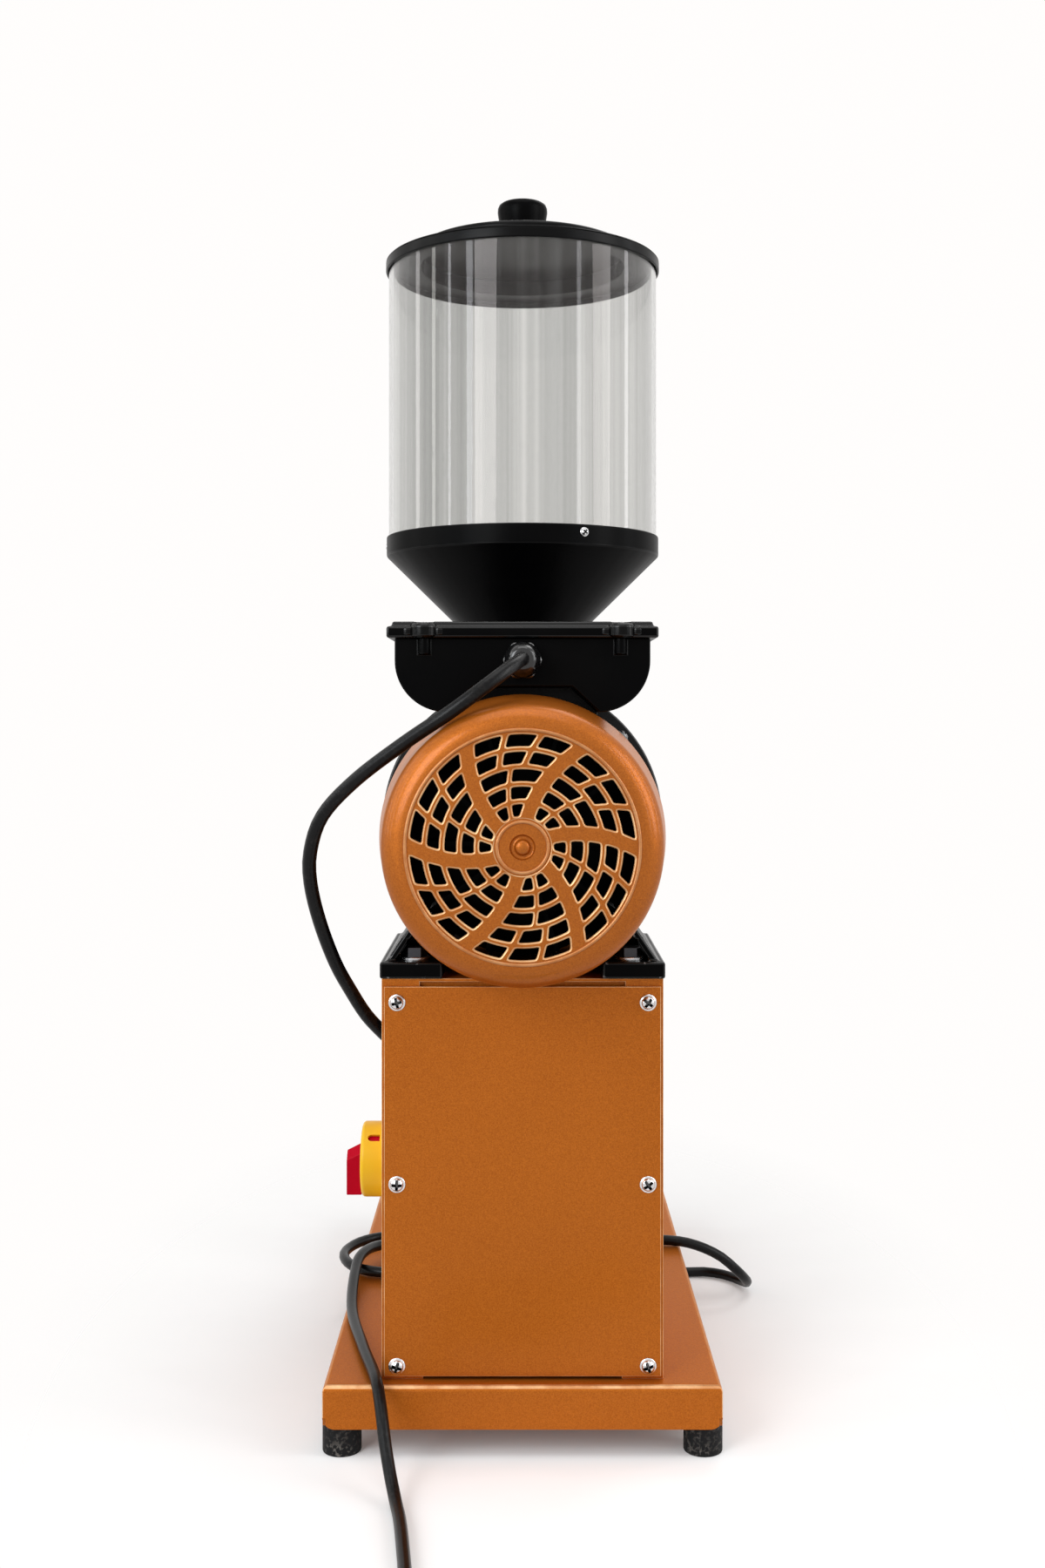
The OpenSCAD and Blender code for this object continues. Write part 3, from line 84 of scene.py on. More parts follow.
class Finish:
    def __init__(self, name, holder=None):
        self.material = holder or bpy.data.materials.new(name)
        self.material.use_nodes = True
        self.tree = self.material.node_tree
        self.tree.nodes.clear()

    # any node: its type, its settings, its sockets' values or links, and the output to give back
    def add(self, kind, settings=None, sockets=None, give=0):
        node = self.tree.nodes.new(kind)
        for key, value in (settings or {}).items():
            if key == "stops":
                ramp = node.color_ramp
                while len(ramp.elements) < len(value):
                    ramp.elements.new(0.5)
                for stop, (place, level) in zip(ramp.elements, value):
                    stop.position = place
                    stop.color = (level, level, level, 1)
            else:
                setattr(node, key, value)
        for key, value in (sockets or {}).items():
            if isinstance(value, Wire):
                self.tree.links.new(value.socket, node.inputs[key])
            else:
                node.inputs[key].default_value = value
        return Wire(self, node.outputs[give]) if node.outputs else None

    def place(self, stretch=(1, 1, 1)):
        spot = self.add("ShaderNodeTexCoord", give="Object")
        return self.add("ShaderNodeMapping", None, {"Vector": spot, "Scale": stretch})

    def noise(self, scale, detail, stretch=(1, 1, 1)):
        return self.add("ShaderNodeTexNoise", None, {
            "Vector": self.place(stretch), "Scale": scale, "Detail": detail, "Roughness": 0.55}, give="Fac")

    def cells(self, scale):
        return self.add("ShaderNodeTexVoronoi", None, {"Vector": self.place(), "Scale": scale}, give="Color")

    def ramp(self, value, *stops):
        return self.add("ShaderNodeValToRGB", {"stops": stops}, {0: value})

    def tint(self, mask, dark, light):
        ends = {0: mask, 6: rgba(dark), 7: rgba(light)}  # a Mix node's colours are its sockets 6 and 7
        return self.add("ShaderNodeMix", {"data_type": "RGBA"}, ends, give=2)

    def bump(self, height, strength, depth):
        return self.add("ShaderNodeBump", None, {"Height": height, "Strength": strength, "Distance": depth})

    # what a face carries: "edge" is its share of edge tint (chips, rubbed paint and, on the orange paint, a
    # painted highlight), 1 where a bevel made it, and "recess" is 1 inside a screw's cross, which the steel
    # finish paints near black as painted shade
    def mark(self, name):
        return self.add("ShaderNodeAttribute", {"attribute_name": name}, give="Fac")

    def show(self, surface):
        self.add("ShaderNodeOutputMaterial", None, {"Surface": surface})
        return self.material

    def shader(self, sockets):
        return self.show(self.add("ShaderNodeBsdfPrincipled", None, sockets))


def rgba(colour):
    return colour if isinstance(colour, Wire) else (*colour[:3], 1)


# meshes: each of these three uses up the mesh it is given
def toMesh(bm, name):
    mesh = bpy.data.meshes.new(name)
    bm.to_mesh(mesh)
    bm.free()
    return mesh


def fromMesh(mesh, bm=None):
    bm = bmesh.new() if bm is None else bm
    bm.from_mesh(mesh)
    bpy.data.meshes.remove(mesh)
    return bm


def absorb(bm, other):
    fromMesh(toMesh(other, "absorbed"), bm)


def evaluated(holder):
    return bpy.data.meshes.new_from_object(holder.evaluated_get(bpy.context.evaluated_depsgraph_get()))


# camera and stage
view = {"place": (0, -1.130, 0.4213), "lens": 38.0, "sensor": 36.0, "drop": -0.0417, "far": 50}
lens = bpy.data.cameras.new("camera")
lens.lens, lens.sensor_width, lens.shift_y = view["lens"], view["sensor"], view["drop"]
lens.clip_end = view["far"]
cameraObject = bpy.data.objects.new("camera", lens)
cameraObject.location = view["place"]
cameraObject.rotation_euler = (math.radians(90), 0, 0)
bpy.context.collection.objects.link(cameraObject)
bpy.context.scene.camera = cameraObject
bpy.context.scene.view_settings.view_transform = "Standard"

room = {
    "white": (1.0, 0.985, 0.975), "ambient": 0.38, "glow": 0.07, "aim": (0, 0, 0.4),
    "floor": (0.975, 0.965, 0.962), "grain": 0.02, "radius": 4, "reach": 0.66, "sides": 1.8, "fadeFrom": 0.35,
}


def makeRoom():
    world = bpy.data.worlds.new("studio")
    bpy.context.scene.world = world
    sky = Finish("studio", world)
    seen = sky.add("ShaderNodeLightPath", give="Is Camera Ray")
    glossy = sky.add("ShaderNodeLightPath", give="Is Glossy Ray")
    through = sky.add("ShaderNodeLightPath", give="Is Transmission Ray")
    shown = seen.larger(glossy).larger(through)
    level = room["ambient"] + shown * (1 - room["ambient"])
    light = sky.add("ShaderNodeBackground", None, {"Color": rgba(room["white"]), "Strength": level})
    sky.add("ShaderNodeOutputWorld", None, {"Surface": light})

    bm = bmesh.new()
    bmesh.ops.create_circle(bm, cap_ends=True, segments=96, radius=room["radius"])
    mesh = toMesh(bm, "floor")
    floor = bpy.data.objects.new("floor", mesh)
    bpy.context.collection.objects.link(floor)
    paper = Finish("floorPaper")
    spot = paper.place((room["sides"], 1, 1))
    far = paper.add("ShaderNodeVectorMath", {"operation": "LENGTH"}, {0: spot}, give="Value")
    fade = paper.ramp(far * (1 / room["reach"]), (room["fadeFrom"], 0), (1.0, 1))
    pale = [c + room["grain"] for c in room["floor"]]
    cloth = paper.add("ShaderNodeBsdfDiffuse", None, {
        "Color": paper.tint(paper.noise(40, 3), room["floor"], pale)})
    seen = paper.add("ShaderNodeLightPath", give="Is Camera Ray")
    glow = paper.add("ShaderNodeEmission", None, {"Color": rgba(room["white"])})
    lit = paper.add("ShaderNodeMixShader", None, {0: seen * room["glow"], 1: cloth, 2: glow})
    clear = paper.add("ShaderNodeBsdfTransparent")
    mixed = paper.add("ShaderNodeMixShader", None, {0: fade, 1: lit, 2: clear})
    mesh.materials.append(paper.show(mixed))


makeRoom()

# lamps: the slats, edges and strips are there for the bands that they leave on the tube
lamps = {
    "window": {"place": (-0.853, -1.42, 0.95), "size": (0.53, 0.95), "power": 11.5, "tint": (0.95, 0.98, 1)},
    "windowSide": {"place": (-1.17, -1.17, 0.95), "size": (0.15, 0.95), "power": 4, "tint": (0.86, 0.93, 1)},
    "top": {"place": (0.0, -0.5, 2.3), "size": (1.4, 1.4), "power": 11.5, "tint": (1, 1, 1)},
    "behind": {"place": (0.7, 1.0, 2.2), "size": (0.9, 0.9), "power": 6, "tint": (1, 1, 1)},
    "rightEdge": {"place": (1.11, -1.0, 0.95), "size": (0.10, 1.2), "power": 2.4, "tint": (0.88, 0.94, 1)},
    "rightStrip": {"place": (1.39, -0.51, 0.95), "size": (0.45, 1.2), "power": 9, "tint": (1, 1, 1)},
    "leftSlatA": {"place": (-1.41, -0.70, 0.95), "size": (0.07, 1.2), "power": 2.6, "tint": (0.88, 0.94, 1)},
    "leftSlatB": {"place": (-1.565, -0.28, 0.95), "size": (0.10, 1.2), "power": 2.8, "tint": (0.95, 1, 0.96)},
    "leftSlatC": {"place": (-1.59, 0.245, 0.95), "size": (0.14, 1.2), "power": 2.4, "tint": (1, 1, 1)},
    "rightSlat": {"place": (1.59, 0.217, 0.95), "size": (0.12, 1.2), "power": 2.4, "tint": (0.95, 0.97, 1)},
}
for name, lamp in lamps.items():
    light = bpy.data.lights.new(name, "AREA")
    light.shape, light.energy, light.color = "RECTANGLE", lamp["power"], lamp["tint"]
    light.size, light.size_y = lamp["size"]
    holder = bpy.data.objects.new(name, light)
    holder.location = lamp["place"]
    holder.rotation_euler = (Vector(room["aim"]) - Vector(lamp["place"])).to_track_quat("-Z", "Y").to_euler()
    holder.visible_camera = holder.visible_transmission = False
    bpy.context.collection.objects.link(holder)
print("camera, room and lamps made")


# finishes
def orangePaint(name, edgeShare, edgeColour, coat=0.1, depth=1.0):
    f = Finish(name)
    flake = f.cells(1900)
    grain = f.noise(900, 3)
    cloud = f.noise(9, 2)
    tone = f.ramp(flake * 0.55 + grain * 0.35 + cloud * 0.25, (0.3, 0), (0.85, 1))
    # edge tint: patchy like rubbed paint, and a painted highlight along rounded edges and folds
    wearAndHighlight = f.mark("edge") * f.ramp(f.noise(70, 4), (0.40, 0.45), (0.65, 1))
    dark, light = [[depth * c for c in shade] for shade in ((0.35, 0.086, 0.006), (0.50, 0.140, 0.014))]
    colour = f.tint(tone, dark, light)
    colour = f.tint(wearAndHighlight * edgeShare, colour, edgeColour)
    peel = f.noise(420, 2)
    return f.shader({
        "Base Color": colour, "Metallic": 0.45 + flake * 0.2, "Roughness": 0.36 + grain * 0.16,
        "Specular IOR Level": 0.2, "Specular Tint": (0.95, 0.62, 0.38, 1), "Coat Weight": coat,
        "Coat Roughness": 0.16, "Normal": f.bump(peel + flake * 0.3, 0.12, 0.0004)})


def blackCoat(name, level, rough, grainScale, bumpStrength, specular, chips=0.0, edgeGloss=0.12):
    f = Finish(name)
    grain = f.noise(grainScale, 3)
    dust = f.ramp(f.noise(28, 5), (0.45, 0), (0.8, 1))
    colour = f.tint(dust, (level, level, level * 1.1), (level * 2.0, level * 1.9, level * 1.9))
    chip = f.mark("edge") * f.ramp(f.noise(160, 4), (0.60, 0), (0.66, 1)) * chips
    colour = f.tint(chip, colour, (0.42, 0.42, 0.42))
    gloss = f.mark("edge") * (1 - chip) * edgeGloss
    return f.shader({
        "Base Color": colour, "Roughness": rough + grain * 0.12 + dust * 0.06, "Specular IOR Level": specular,
        "Coat Weight": gloss, "Coat Roughness": 0.2, "Normal": f.bump(grain, bumpStrength, 0.0003)})


def rubberSkin(name, level, rough, dusty, specular):
    f = Finish(name)
    grain = f.noise(800, 3)
    patch = f.ramp(f.noise(60, 3), (0.42, 0.2), (0.62, 1))
    speck = f.ramp(f.noise(420, 5), (0.50, 0), (0.60, 1))
    dust = patch * speck * dusty
    colour = f.tint(dust, (level, level, level * 1.08), (0.16, 0.145, 0.13))
    return f.shader({
        "Base Color": colour, "Roughness": rough + dust * 0.3, "Specular IOR Level": specular,
        "Normal": f.bump(grain + dust, 0.15, 0.0003)})


def metalSkin(name, colour, rough, stretch=(1, 1, 1)):
    f = Finish(name)
    lines = f.noise(500, 3, stretch)
    cloud = f.noise(45, 3)
    shade = f.tint(cloud, [c * 0.78 for c in colour], colour)
    # inside a screw's cross the colour goes near black: painted shade in the recess
    shade = f.tint(f.mark("recess") * 0.9, shade, (0.02, 0.02, 0.02))
    return f.shader({
        "Base Color": shade, "Metallic": 1.0, "Roughness": rough + lines * 0.14,
        "Normal": f.bump(lines, 0.06, 0.0002)})


def mouldedSkin(name, dark, light, rough, specular=0.25):
    f = Finish(name)
    grain = f.noise(700, 2)
    cloud = f.noise(35, 3)
    return f.shader({
        "Base Color": f.tint(cloud, dark, light), "Roughness": rough + grain * 0.1,
        "Specular IOR Level": specular, "Normal": f.bump(grain, 0.05, 0.0003)})


def clearTube():
    f = Finish("clearTube")
    line = f.noise(42, 4, (1, 1, 0.003))  # lines along the tube: a bump like the lines left by its drawing, and the source of the painted reflection bands below
    wide = f.noise(13, 1, (1, 1, 0.004))
    # bands along the tube, darker and lighter in the clear colour and in the haze: painted reflections of the
    # room
    paintedReflection = f.ramp(line * 0.6 + wide * 0.4, (0.36, 0.1), (0.44, 0), (0.47, 0.55), (0.53, 0.35), (0.56, 1),
                    (0.66, 0.6))
    fine = f.ramp(f.noise(150, 3, (1, 1, 0.002)), (0.60, 0), (0.66, 1))
    rub = f.ramp(f.noise(130, 4, (1, 1, 0.25)), (0.62, 0), (0.78, 1))
    clear = f.add("ShaderNodeBsdfPrincipled", None, {
        "Base Color": f.tint(paintedReflection, (0.595, 0.60, 0.588), (0.86, 0.858, 0.847)), "IOR": 1.49,
        "Roughness": 0.02 + rub * 0.15, "Transmission Weight": 1.0, "Specular Tint": (0.52, 0.48, 0.47, 1),
        "Normal": f.bump(line, 0.08, 0.0006)})
    haze = f.add("ShaderNodeBsdfPrincipled", None, {
        "Base Color": f.tint(wide, (0.62, 0.63, 0.64), (0.80, 0.80, 0.78)), "Roughness": 0.4})
    share = 0.002 + paintedReflection * 0.018 + fine * 0.035 + rub * 0.05
    return f.show(f.add("ShaderNodeMixShader", None, {0: share, 1: clear, 2: haze}))


looks = {
    "orange_paint": orangePaint("orangePaint", 0.85, (0.86, 0.55, 0.29)),
    "black_paint": blackCoat("blackPaint", 0.0012, 0.24, 260, 0.12, specular=0.03, chips=0.65, edgeGloss=0.4),
    "black_plastic": blackCoat("blackPlastic", 0.0012, 0.26, 900, 0.06, specular=0.03),
    "clear_acrylic": clearTube(),
    "black_rubber": rubberSkin("blackRubber", 0.006, 0.62, 0.8, 0.15),
    "cable_sheath": rubberSkin("cableSheath", 0.0035, 0.30, 0.05, 0.16),
    "zinc_steel": metalSkin("zincSteel", (0.74, 0.74, 0.75), 0.16),
    "black_bolts": metalSkin("blackBolts", (0.06, 0.06, 0.065), 0.35),
    "yellow_plastic": mouldedSkin("yellowPlastic", (0.84, 0.46, 0.010), (0.95, 0.57, 0.018), 0.3),
    "red_plastic": mouldedSkin("redPlastic", (0.43, 0.001, 0.012), (0.51, 0.002, 0.018), 0.3, 0.06),
    "bright_steel": metalSkin("brightSteel", (0.63, 0.62, 0.61), 0.22, (1, 1, 0.05)),
    "core_steel": metalSkin("coreSteel", (0.22, 0.22, 0.23), 0.45),
    "tool_steel": metalSkin("toolSteel", (0.42, 0.42, 0.43), 0.3),
    "cast_grey": metalSkin("castGrey", (0.35, 0.35, 0.36), 0.42),
    "grey_can": mouldedSkin("greyCan", (0.42, 0.42, 0.42), (0.5, 0.5, 0.5), 0.4),
    "ivory_plastic": mouldedSkin("ivoryPlastic", (0.68, 0.62, 0.5), (0.76, 0.7, 0.58), 0.4),
}
# the cowl's copy of the orange paint, with more coat and darker all over by depth 0.88: painted shade
cowlPaint = orangePaint("cowlPaint", 0.85, (0.80, 0.52, 0.27), 0.25, 0.88)
glossBlack = blackCoat("glossBlack", 0.003, 0.12, 900, 0.03, specular=0.6, edgeGloss=0.9)
finBlack = blackCoat("finBlack", 0.0025, 0.28, 260, 0.15, specular=0.12, chips=0.12, edgeGloss=0.3)
headBlack = blackCoat("headBlack", 0.004, 0.30, 220, 0.2, specular=0.22, chips=0.5, edgeGloss=0.4)
wheelBlack = blackCoat("wheelBlack", 0.009, 0.36, 700, 0.15, specular=0.3, edgeGloss=0.5)
hopperBlack = blackCoat("hopperBlack", 0.0012, 0.24, 900, 0.05, specular=0.09, edgeGloss=0.0)
lidBlack = blackCoat("lidBlack", 0.0012, 0.26, 900, 0.06, specular=0.03, edgeGloss=0.55)
dullSteel = metalSkin("dullSteel", (0.20, 0.20, 0.20), 0.38)
print("finishes made:", len(looks))


# pieces: a finished mesh goes on its body and slot, in place of the solids it hides
def keep(bm, name, hides, look=None, smooth=40, ride=None):
    mesh = toMesh(bm, name)
    mesh.shade_smooth()
    mesh.set_sharp_from_angle(angle=math.radians(smooth))
    piece = bpy.data.objects.new(name, mesh)
    bpy.context.collection.objects.link(piece)
    mesh.materials.append(look or looks[slotOf[hides[0]]])
    piece.modifiers.new("flatFaces", "WEIGHTED_NORMAL").keep_sharp = True
    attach(piece, ride or bodyOf[hides[0]])
    if hides:
        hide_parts(*hides)
    return piece


def bevelEdges(bm, edges, width, segments):
    return bmesh.ops.bevel(bm, geom=edges, offset=width * mm, offset_type="OFFSET", segments=segments,
                           profile=0.5, affect="EDGES", clamp_overlap=False, material=-1)["faces"]


# rounds every sharp edge and marks the new faces, for the edge tint: chipped and rubbed paint, and on the
# orange paint a painted highlight
def softenEdges(bm, width, degrees=40, segments=2, above=-1.0):
    edge = bm.faces.layers.float.get("edge") or bm.faces.layers.float.new("edge")
    sharp = [e for e in bm.edges if len(e.link_faces) == 2 and e.calc_face_angle(0) > math.radians(degrees)]
    chosen = [e for e in sharp if min(v.co.z for v in e.verts) > above]
    for face in bevelEdges(bm, chosen, width, segments):
        face[edge] = 1


# joins the points that meet and turns every face outwards
def closeUp(bm, gap=weld):
    bmesh.ops.remove_doubles(bm, verts=bm.verts, dist=gap)
    bmesh.ops.recalc_face_normals(bm, faces=bm.faces)


def mergedCopy(node):
    bm = bmesh.new()
    bm.from_mesh(nodes[node].data)
    bmesh.ops.remove_doubles(bm, verts=bm.verts, dist=weld)
    bmesh.ops.dissolve_limit(bm, angle_limit=math.radians(0.5), verts=bm.verts, edges=bm.edges)
    return bm


roundings = {
    "column_shell": 0.35, "rear_cover": 0.4, "motor_feet": 1.2, "terminal_box": 0.8, "box_lid": 1.3,
    "head_housing": 1.2, "front_cover": 1.0, "adjusting_wheel": 1.6, "wheel_retainer": 0.6, "spout": 0.25,
    "bag_clip": 0.15, "rubber_feet": 0.8, "hopper_funnel": 0.8, "hopper_lid": 0.9, "motor_housing": 0.3,
    "front_end_shield": 0.8, "mains_plug": 1.2, "mains_grip": 0.6, "cord_tie": 0.2, "foot_bolts": 0.3,
    "head_bolts": 0.3, "front_bolts": 0.25, "cable_grommet": 0.4,
}
otherLooks = {
    "box_lid": lidBlack, "hopper_lid": hopperBlack, "head_housing": headBlack, "front_cover": headBlack,
    "adjusting_wheel": wheelBlack, "motor_housing": finBlack, "front_end_shield": finBlack,
}


def dress(node, width):
    bm = mergedCopy(node)
    softenEdges(bm, width)
    return keep(bm, node + "_dressed", [node], otherLooks.get(node))


pieces = {name: dress(name, width) for name, width in roundings.items()}


# one mesh less another; both are used up
def cutAway(solid, cutter):
    holders = []
    for bm, label in ((solid, "solidPart"), (cutter, "cutterPart")):
        holders.append(bpy.data.objects.new(label, toMesh(bm, label)))
        bpy.context.collection.objects.link(holders[-1])
    cut = holders[0].modifiers.new("cut", "BOOLEAN")
    cut.object, cut.operation, cut.solver = holders[1], "DIFFERENCE", "EXACT"
    made = evaluated(holders[0])
    for holder in holders:
        bpy.data.meshes.remove(holder.data)
    return fromMesh(made)


# a flat outline of points, pushed along a vector
def pushed(bm, points, along):
    face = bm.faces.new([bm.verts.new(Vector(p) * mm) for p in points])
    top = bmesh.ops.extrude_face_region(bm, geom=[face])["geom"]
    moved = [g for g in top if isinstance(g, bmesh.types.BMVert)]
    bmesh.ops.translate(bm, verts=moved, vec=Vector(along) * mm)
    bmesh.ops.recalc_face_normals(bm, faces=bm.faces)
    return moved


def blockMesh(size, centre):
    bm = bmesh.new()
    verts = bmesh.ops.create_cube(bm, size=1)["verts"]
    bmesh.ops.scale(bm, verts=verts, vec=Vector(size) * mm)
    bmesh.ops.translate(bm, verts=verts, vec=Vector(centre) * mm)
    return bm


# an outline of radius and height pairs, turned round an axis
def turned(bm, outline, centre, axis, steps, closed=True, side=(1, 0, 0)):
    verts = [bm.verts.new((Vector(centre) + Vector(side) * r + Vector(axis) * h) * mm) for r, h in outline]
    pairs = list(zip(verts, verts[1:])) + ([(verts[-1], verts[0])] if closed else [])
    edges = [bm.edges.new(pair) for pair in pairs]
    bmesh.ops.spin(bm, geom=verts + edges, cent=Vector(centre) * mm, axis=axis, dvec=(0, 0, 0),
                   angle=2 * math.pi, steps=steps, use_merge=True)


def arcPoints(centre, radius, start, end, steps):
    turns = [math.radians(start + (end - start) * i / steps) for i in range(steps + 1)]
    return [(centre[0] + radius * math.cos(t), centre[1] + radius * math.sin(t)) for t in turns]


def polar(radius, angle):
    return Vector((radius * math.cos(angle), radius * math.sin(angle)))


def ringPoints(radius, count):
    return [polar(radius, 2 * math.pi * k / count) for k in range(count)]


# the four points at one distance inside a box's corners
def cornerSpots(low, high, inset):
    return [(x, y) for x in (low.x + inset, high.x - inset) for y in (low.y + inset, high.y - inset)]


# base pan: rounded above its open corners, with a painted highlight along its folds, brighter on the front
# folds than on the side folds
basePan = {"rounding": 0.5, "gapHigh": 6.9, "fold": (0.5, 0.9), "frontFoldHighlight": 0.9, "sideFoldHighlight": 0.35}


def makeBasePan():
    bm = mergedCopy("base_pan")
    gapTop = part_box("base_pan")[0][2] + basePan["gapHigh"] * mm
    softenEdges(bm, basePan["rounding"], degrees=50, above=gapTop)
    edge = bm.faces.layers.float.get("edge")
    low, high = basePan["fold"]
    # the fold faces take the paint's cream edge tint: a painted highlight
    for face in bm.faces:
        if low < face.normal.z < high:
            front = abs(face.normal.y) > abs(face.normal.x)
            face[edge] = basePan["frontFoldHighlight"] if front else basePan["sideFoldHighlight"]
    return keep(bm, "basePan", ["base_pan"])


pieces["base_pan"] = makeBasePan()

# fan cowl: turned shell, pressed grille and hub; heights run from the face towards the motor
cowl = {
    "axisZ": 352, "faceY": -240, "length": 104, "straight": 30, "wall": 2, "openR": 83.5, "frontR": 77.5,
    "shoulder": 13, "flatZ": 272.3, "beadR": 63.4, "beadH": 1, "plate": 2.2, "edge": 1.0, "grilleR": 60.8,
    "rows": 5, "rowHeight": 6.2, "rib": 3.2, "spokes": 6, "spoke": 8.8, "twist": 0.4826, "phase": -0.3,
    "cells": 2, "bar": 2.9, "fineRows": 2, "fineCells": 3, "fineBar": 3.8, "corner": 1.0, "cornerShare": 0.4,
    "hubR": 15, "hubLap": 0.4, "hubLow": 0.05, "hubEase": 0.3, "hubRidge": 13.8, "ridgeH": 1.0, "hubDish": 7,
    "hubBump": 3.9, "bumpH": 1.9, "proud": 0.4, "raisedHighlight": 0.4, "edgeTilt": (0.05, 0.98),
}


# the two sides of an opening at a radius; every bar swirls by the same turn for each millimetre
def cellSides(radius, sector, cell, count):
    lean = math.cos(math.atan(math.radians(cowl["twist"]) * radius))
    spoke = cowl["spoke"] / lean
    bar = cowl["fineBar" if count == cowl["fineCells"] else "bar"] / lean
    width = (2 * math.pi * radius / cowl["spokes"] - spoke - (count - 1) * bar) / count
    turn = cowl["phase"] + 360 * sector / cowl["spokes"] + cowl["twist"] * (cowl["grilleR"] - radius)
    near = math.radians(turn) + (spoke / 2 + cell * (width + bar)) / radius
    return near, near + width / radius


def openingOutline(inR, outR, place, steps=5):
    def along(side, start, end):
        def spot(t):
            r = start + (end - start) * t
            return polar(r, cellSides(r, *place)[side])
        return spot

    def across(r, first, last):
        def spot(t):
            sides = cellSides(r, *place)
            return polar(r, sides[first] * (1 - t) + sides[last] * t)
        return spot

    sides = [along(0, inR, outR), across(outR, 0, 1), along(1, outR, inR), across(inR, 1, 0)]
    trims = [min(cowl["corner"] / (side(1) - side(0)).length, cowl["cornerShare"]) for side in sides]
    outline = []
    for k, side in enumerate(sides):
        outline += [side(trims[k] + (1 - 2 * trims[k]) * i / steps) for i in range(steps + 1)]
        after = sides[(k + 1) % 4](trims[(k + 1) % 4])
        outline.append((outline[-1] + 2 * side(1) + after) / 4)
    return outline


def grilleOpenings():
    made = []
    for row in range(cowl["rows"]):
        outR = cowl["grilleR"] - row * (cowl["rowHeight"] + cowl["rib"])
        count = cowl["fineCells"] if row < cowl["fineRows"] else cowl["cells"]
        for sector in range(cowl["spokes"]):
            made += [openingOutline(outR - cowl["rowHeight"], outR, (sector, i, count)) for i in range(count)]
    return made


# a flat curve with holes and rounded edges, made a mesh
def flatPlate(rim, holes, thick, edge):
    curve = bpy.data.curves.new("flatPlate", "CURVE")
    curve.dimensions, curve.fill_mode = "2D", "BOTH"
    curve.extrude, curve.bevel_depth, curve.bevel_resolution = (thick / 2 - edge) * mm, edge * mm, 2
    curve.offset = -edge * mm
    for outline in [rim] + [hole[::-1] for hole in holes]:
        spline = curve.splines.new("POLY")
        spline.use_cyclic_u = True
        spline.points.add(len(outline) - 1)
        for spot, point in zip(spline.points, outline):
            spot.co = (point.x * mm, point.y * mm, 0, 1)
    plate = bpy.data.objects.new("flatPlate", curve)
    bpy.context.collection.objects.link(plate)
    mesh = evaluated(plate)
    bpy.data.objects.remove(plate)
    bpy.data.curves.remove(curve)
    return fromMesh(mesh)


def makeGrille():
    holes = grilleOpenings() + [ringPoints(cowl["hubR"], count=96)]
    bm = flatPlate(ringPoints(cowl["beadR"], count=128), holes, cowl["plate"], cowl["edge"])
    edge = bm.faces.layers.float.new("edge")
    low, high = cowl["edgeTilt"]
    for face in bm.faces:  # the rounded edges of the openings, tinted cream as a painted highlight
        spread = face.calc_center_median().xy.length / mm
        face[edge] = 1 if low < face.normal.z < high and spread < cowl["grilleR"] + 1 else 0
    stand = Matrix.Translation(Vector((0, cowl["faceY"] + cowl["plate"] / 2, cowl["axisZ"])) * mm)
    bmesh.ops.transform(bm, verts=bm.verts, matrix=stand @ Matrix.Rotation(math.pi / 2, 4, "X"))
    return bm


def makeCowlShell():
    centre, axis = (0, cowl["faceY"], cowl["axisZ"]), (0, 1, 0)
    faceR, wall, shoulder = cowl["frontR"] - cowl["shoulder"], cowl["wall"], cowl["shoulder"]
    openR, deep, bend = cowl["openR"], cowl["length"], cowl["length"] - cowl["straight"]
    bead = [(r, -h) for r, h in arcPoints((cowl["beadR"], 0), cowl["beadH"], 180, 0, 8)]
    outer = arcPoints((faceR, shoulder), shoulder, -90, 0, 14)
    sleeve = [(openR, bend), (openR, deep), (openR - wall, deep), (openR - wall, bend)]
    inner = arcPoints((faceR, shoulder), shoulder - wall, 0, -90, 10)
    bm = bmesh.new()
    inward = [(cowl["beadR"] - cowl["beadH"], wall)]
    turned(bm, bead + outer[1:] + sleeve + inner + inward, centre, axis, steps=144)

    hubR, dishR, bumpR = cowl["hubR"], cowl["hubDish"], cowl["hubBump"]
    lapR = hubR + cowl["hubLap"]
    rim = [(lapR, wall), (lapR, cowl["hubLow"]), (hubR - cowl["hubEase"], 0)]
    ridge = [(r, -h) for r, h in arcPoints((cowl["hubRidge"], 0), cowl["ridgeH"], 0, 180, 8)]
    dish = arcPoints(((dishR + bumpR) / 2, 0), (dishR - bumpR) / 2, 0, 180, 10)
    bump = [(bumpR * u, -cowl["bumpH"] * v) for u, v in arcPoints((0, 0), 1, 0, 90, 6)]
    turned(bm, rim + ridge + dish + bump[1:] + [(pole, wall)], centre, axis, steps=96)

    for vert in bm.verts:  # flat where it passes over the column
        spread = math.hypot(vert.co.x, vert.co.z - cowl["axisZ"] * mm) / mm
        wide = vert.co.y / mm - cowl["faceY"] > bend - 1
        inside = spread < (openR if wide else cowl["frontR"]) - wall / 2
        vert.co.z = max(vert.co.z, (cowl["flatZ"] + (wall if inside else 0)) * mm)
    closeUp(bm)
    edge = bm.faces.layers.float.new("edge")
    for face in bm.faces:  # the bead and the hub's ridge get a painted highlight
        spot = face.calc_center_median() / mm
        spread = math.hypot(spot.x, spot.z - cowl["axisZ"])
        face[edge] = cowl["raisedHighlight"] if spot.y < cowl["faceY"] - cowl["proud"] and spread > dishR else 0
    return bm


def makeCowl():
    bm = makeGrille()
    absorb(bm, makeCowlShell())
    return keep(bm, "fanCowl", ["fan_cowl"], cowlPaint, smooth=50)


pieces["fan_cowl"] = makeCowl()
print("cowl made with", len(pieces["fan_cowl"].data.polygons), "faces")

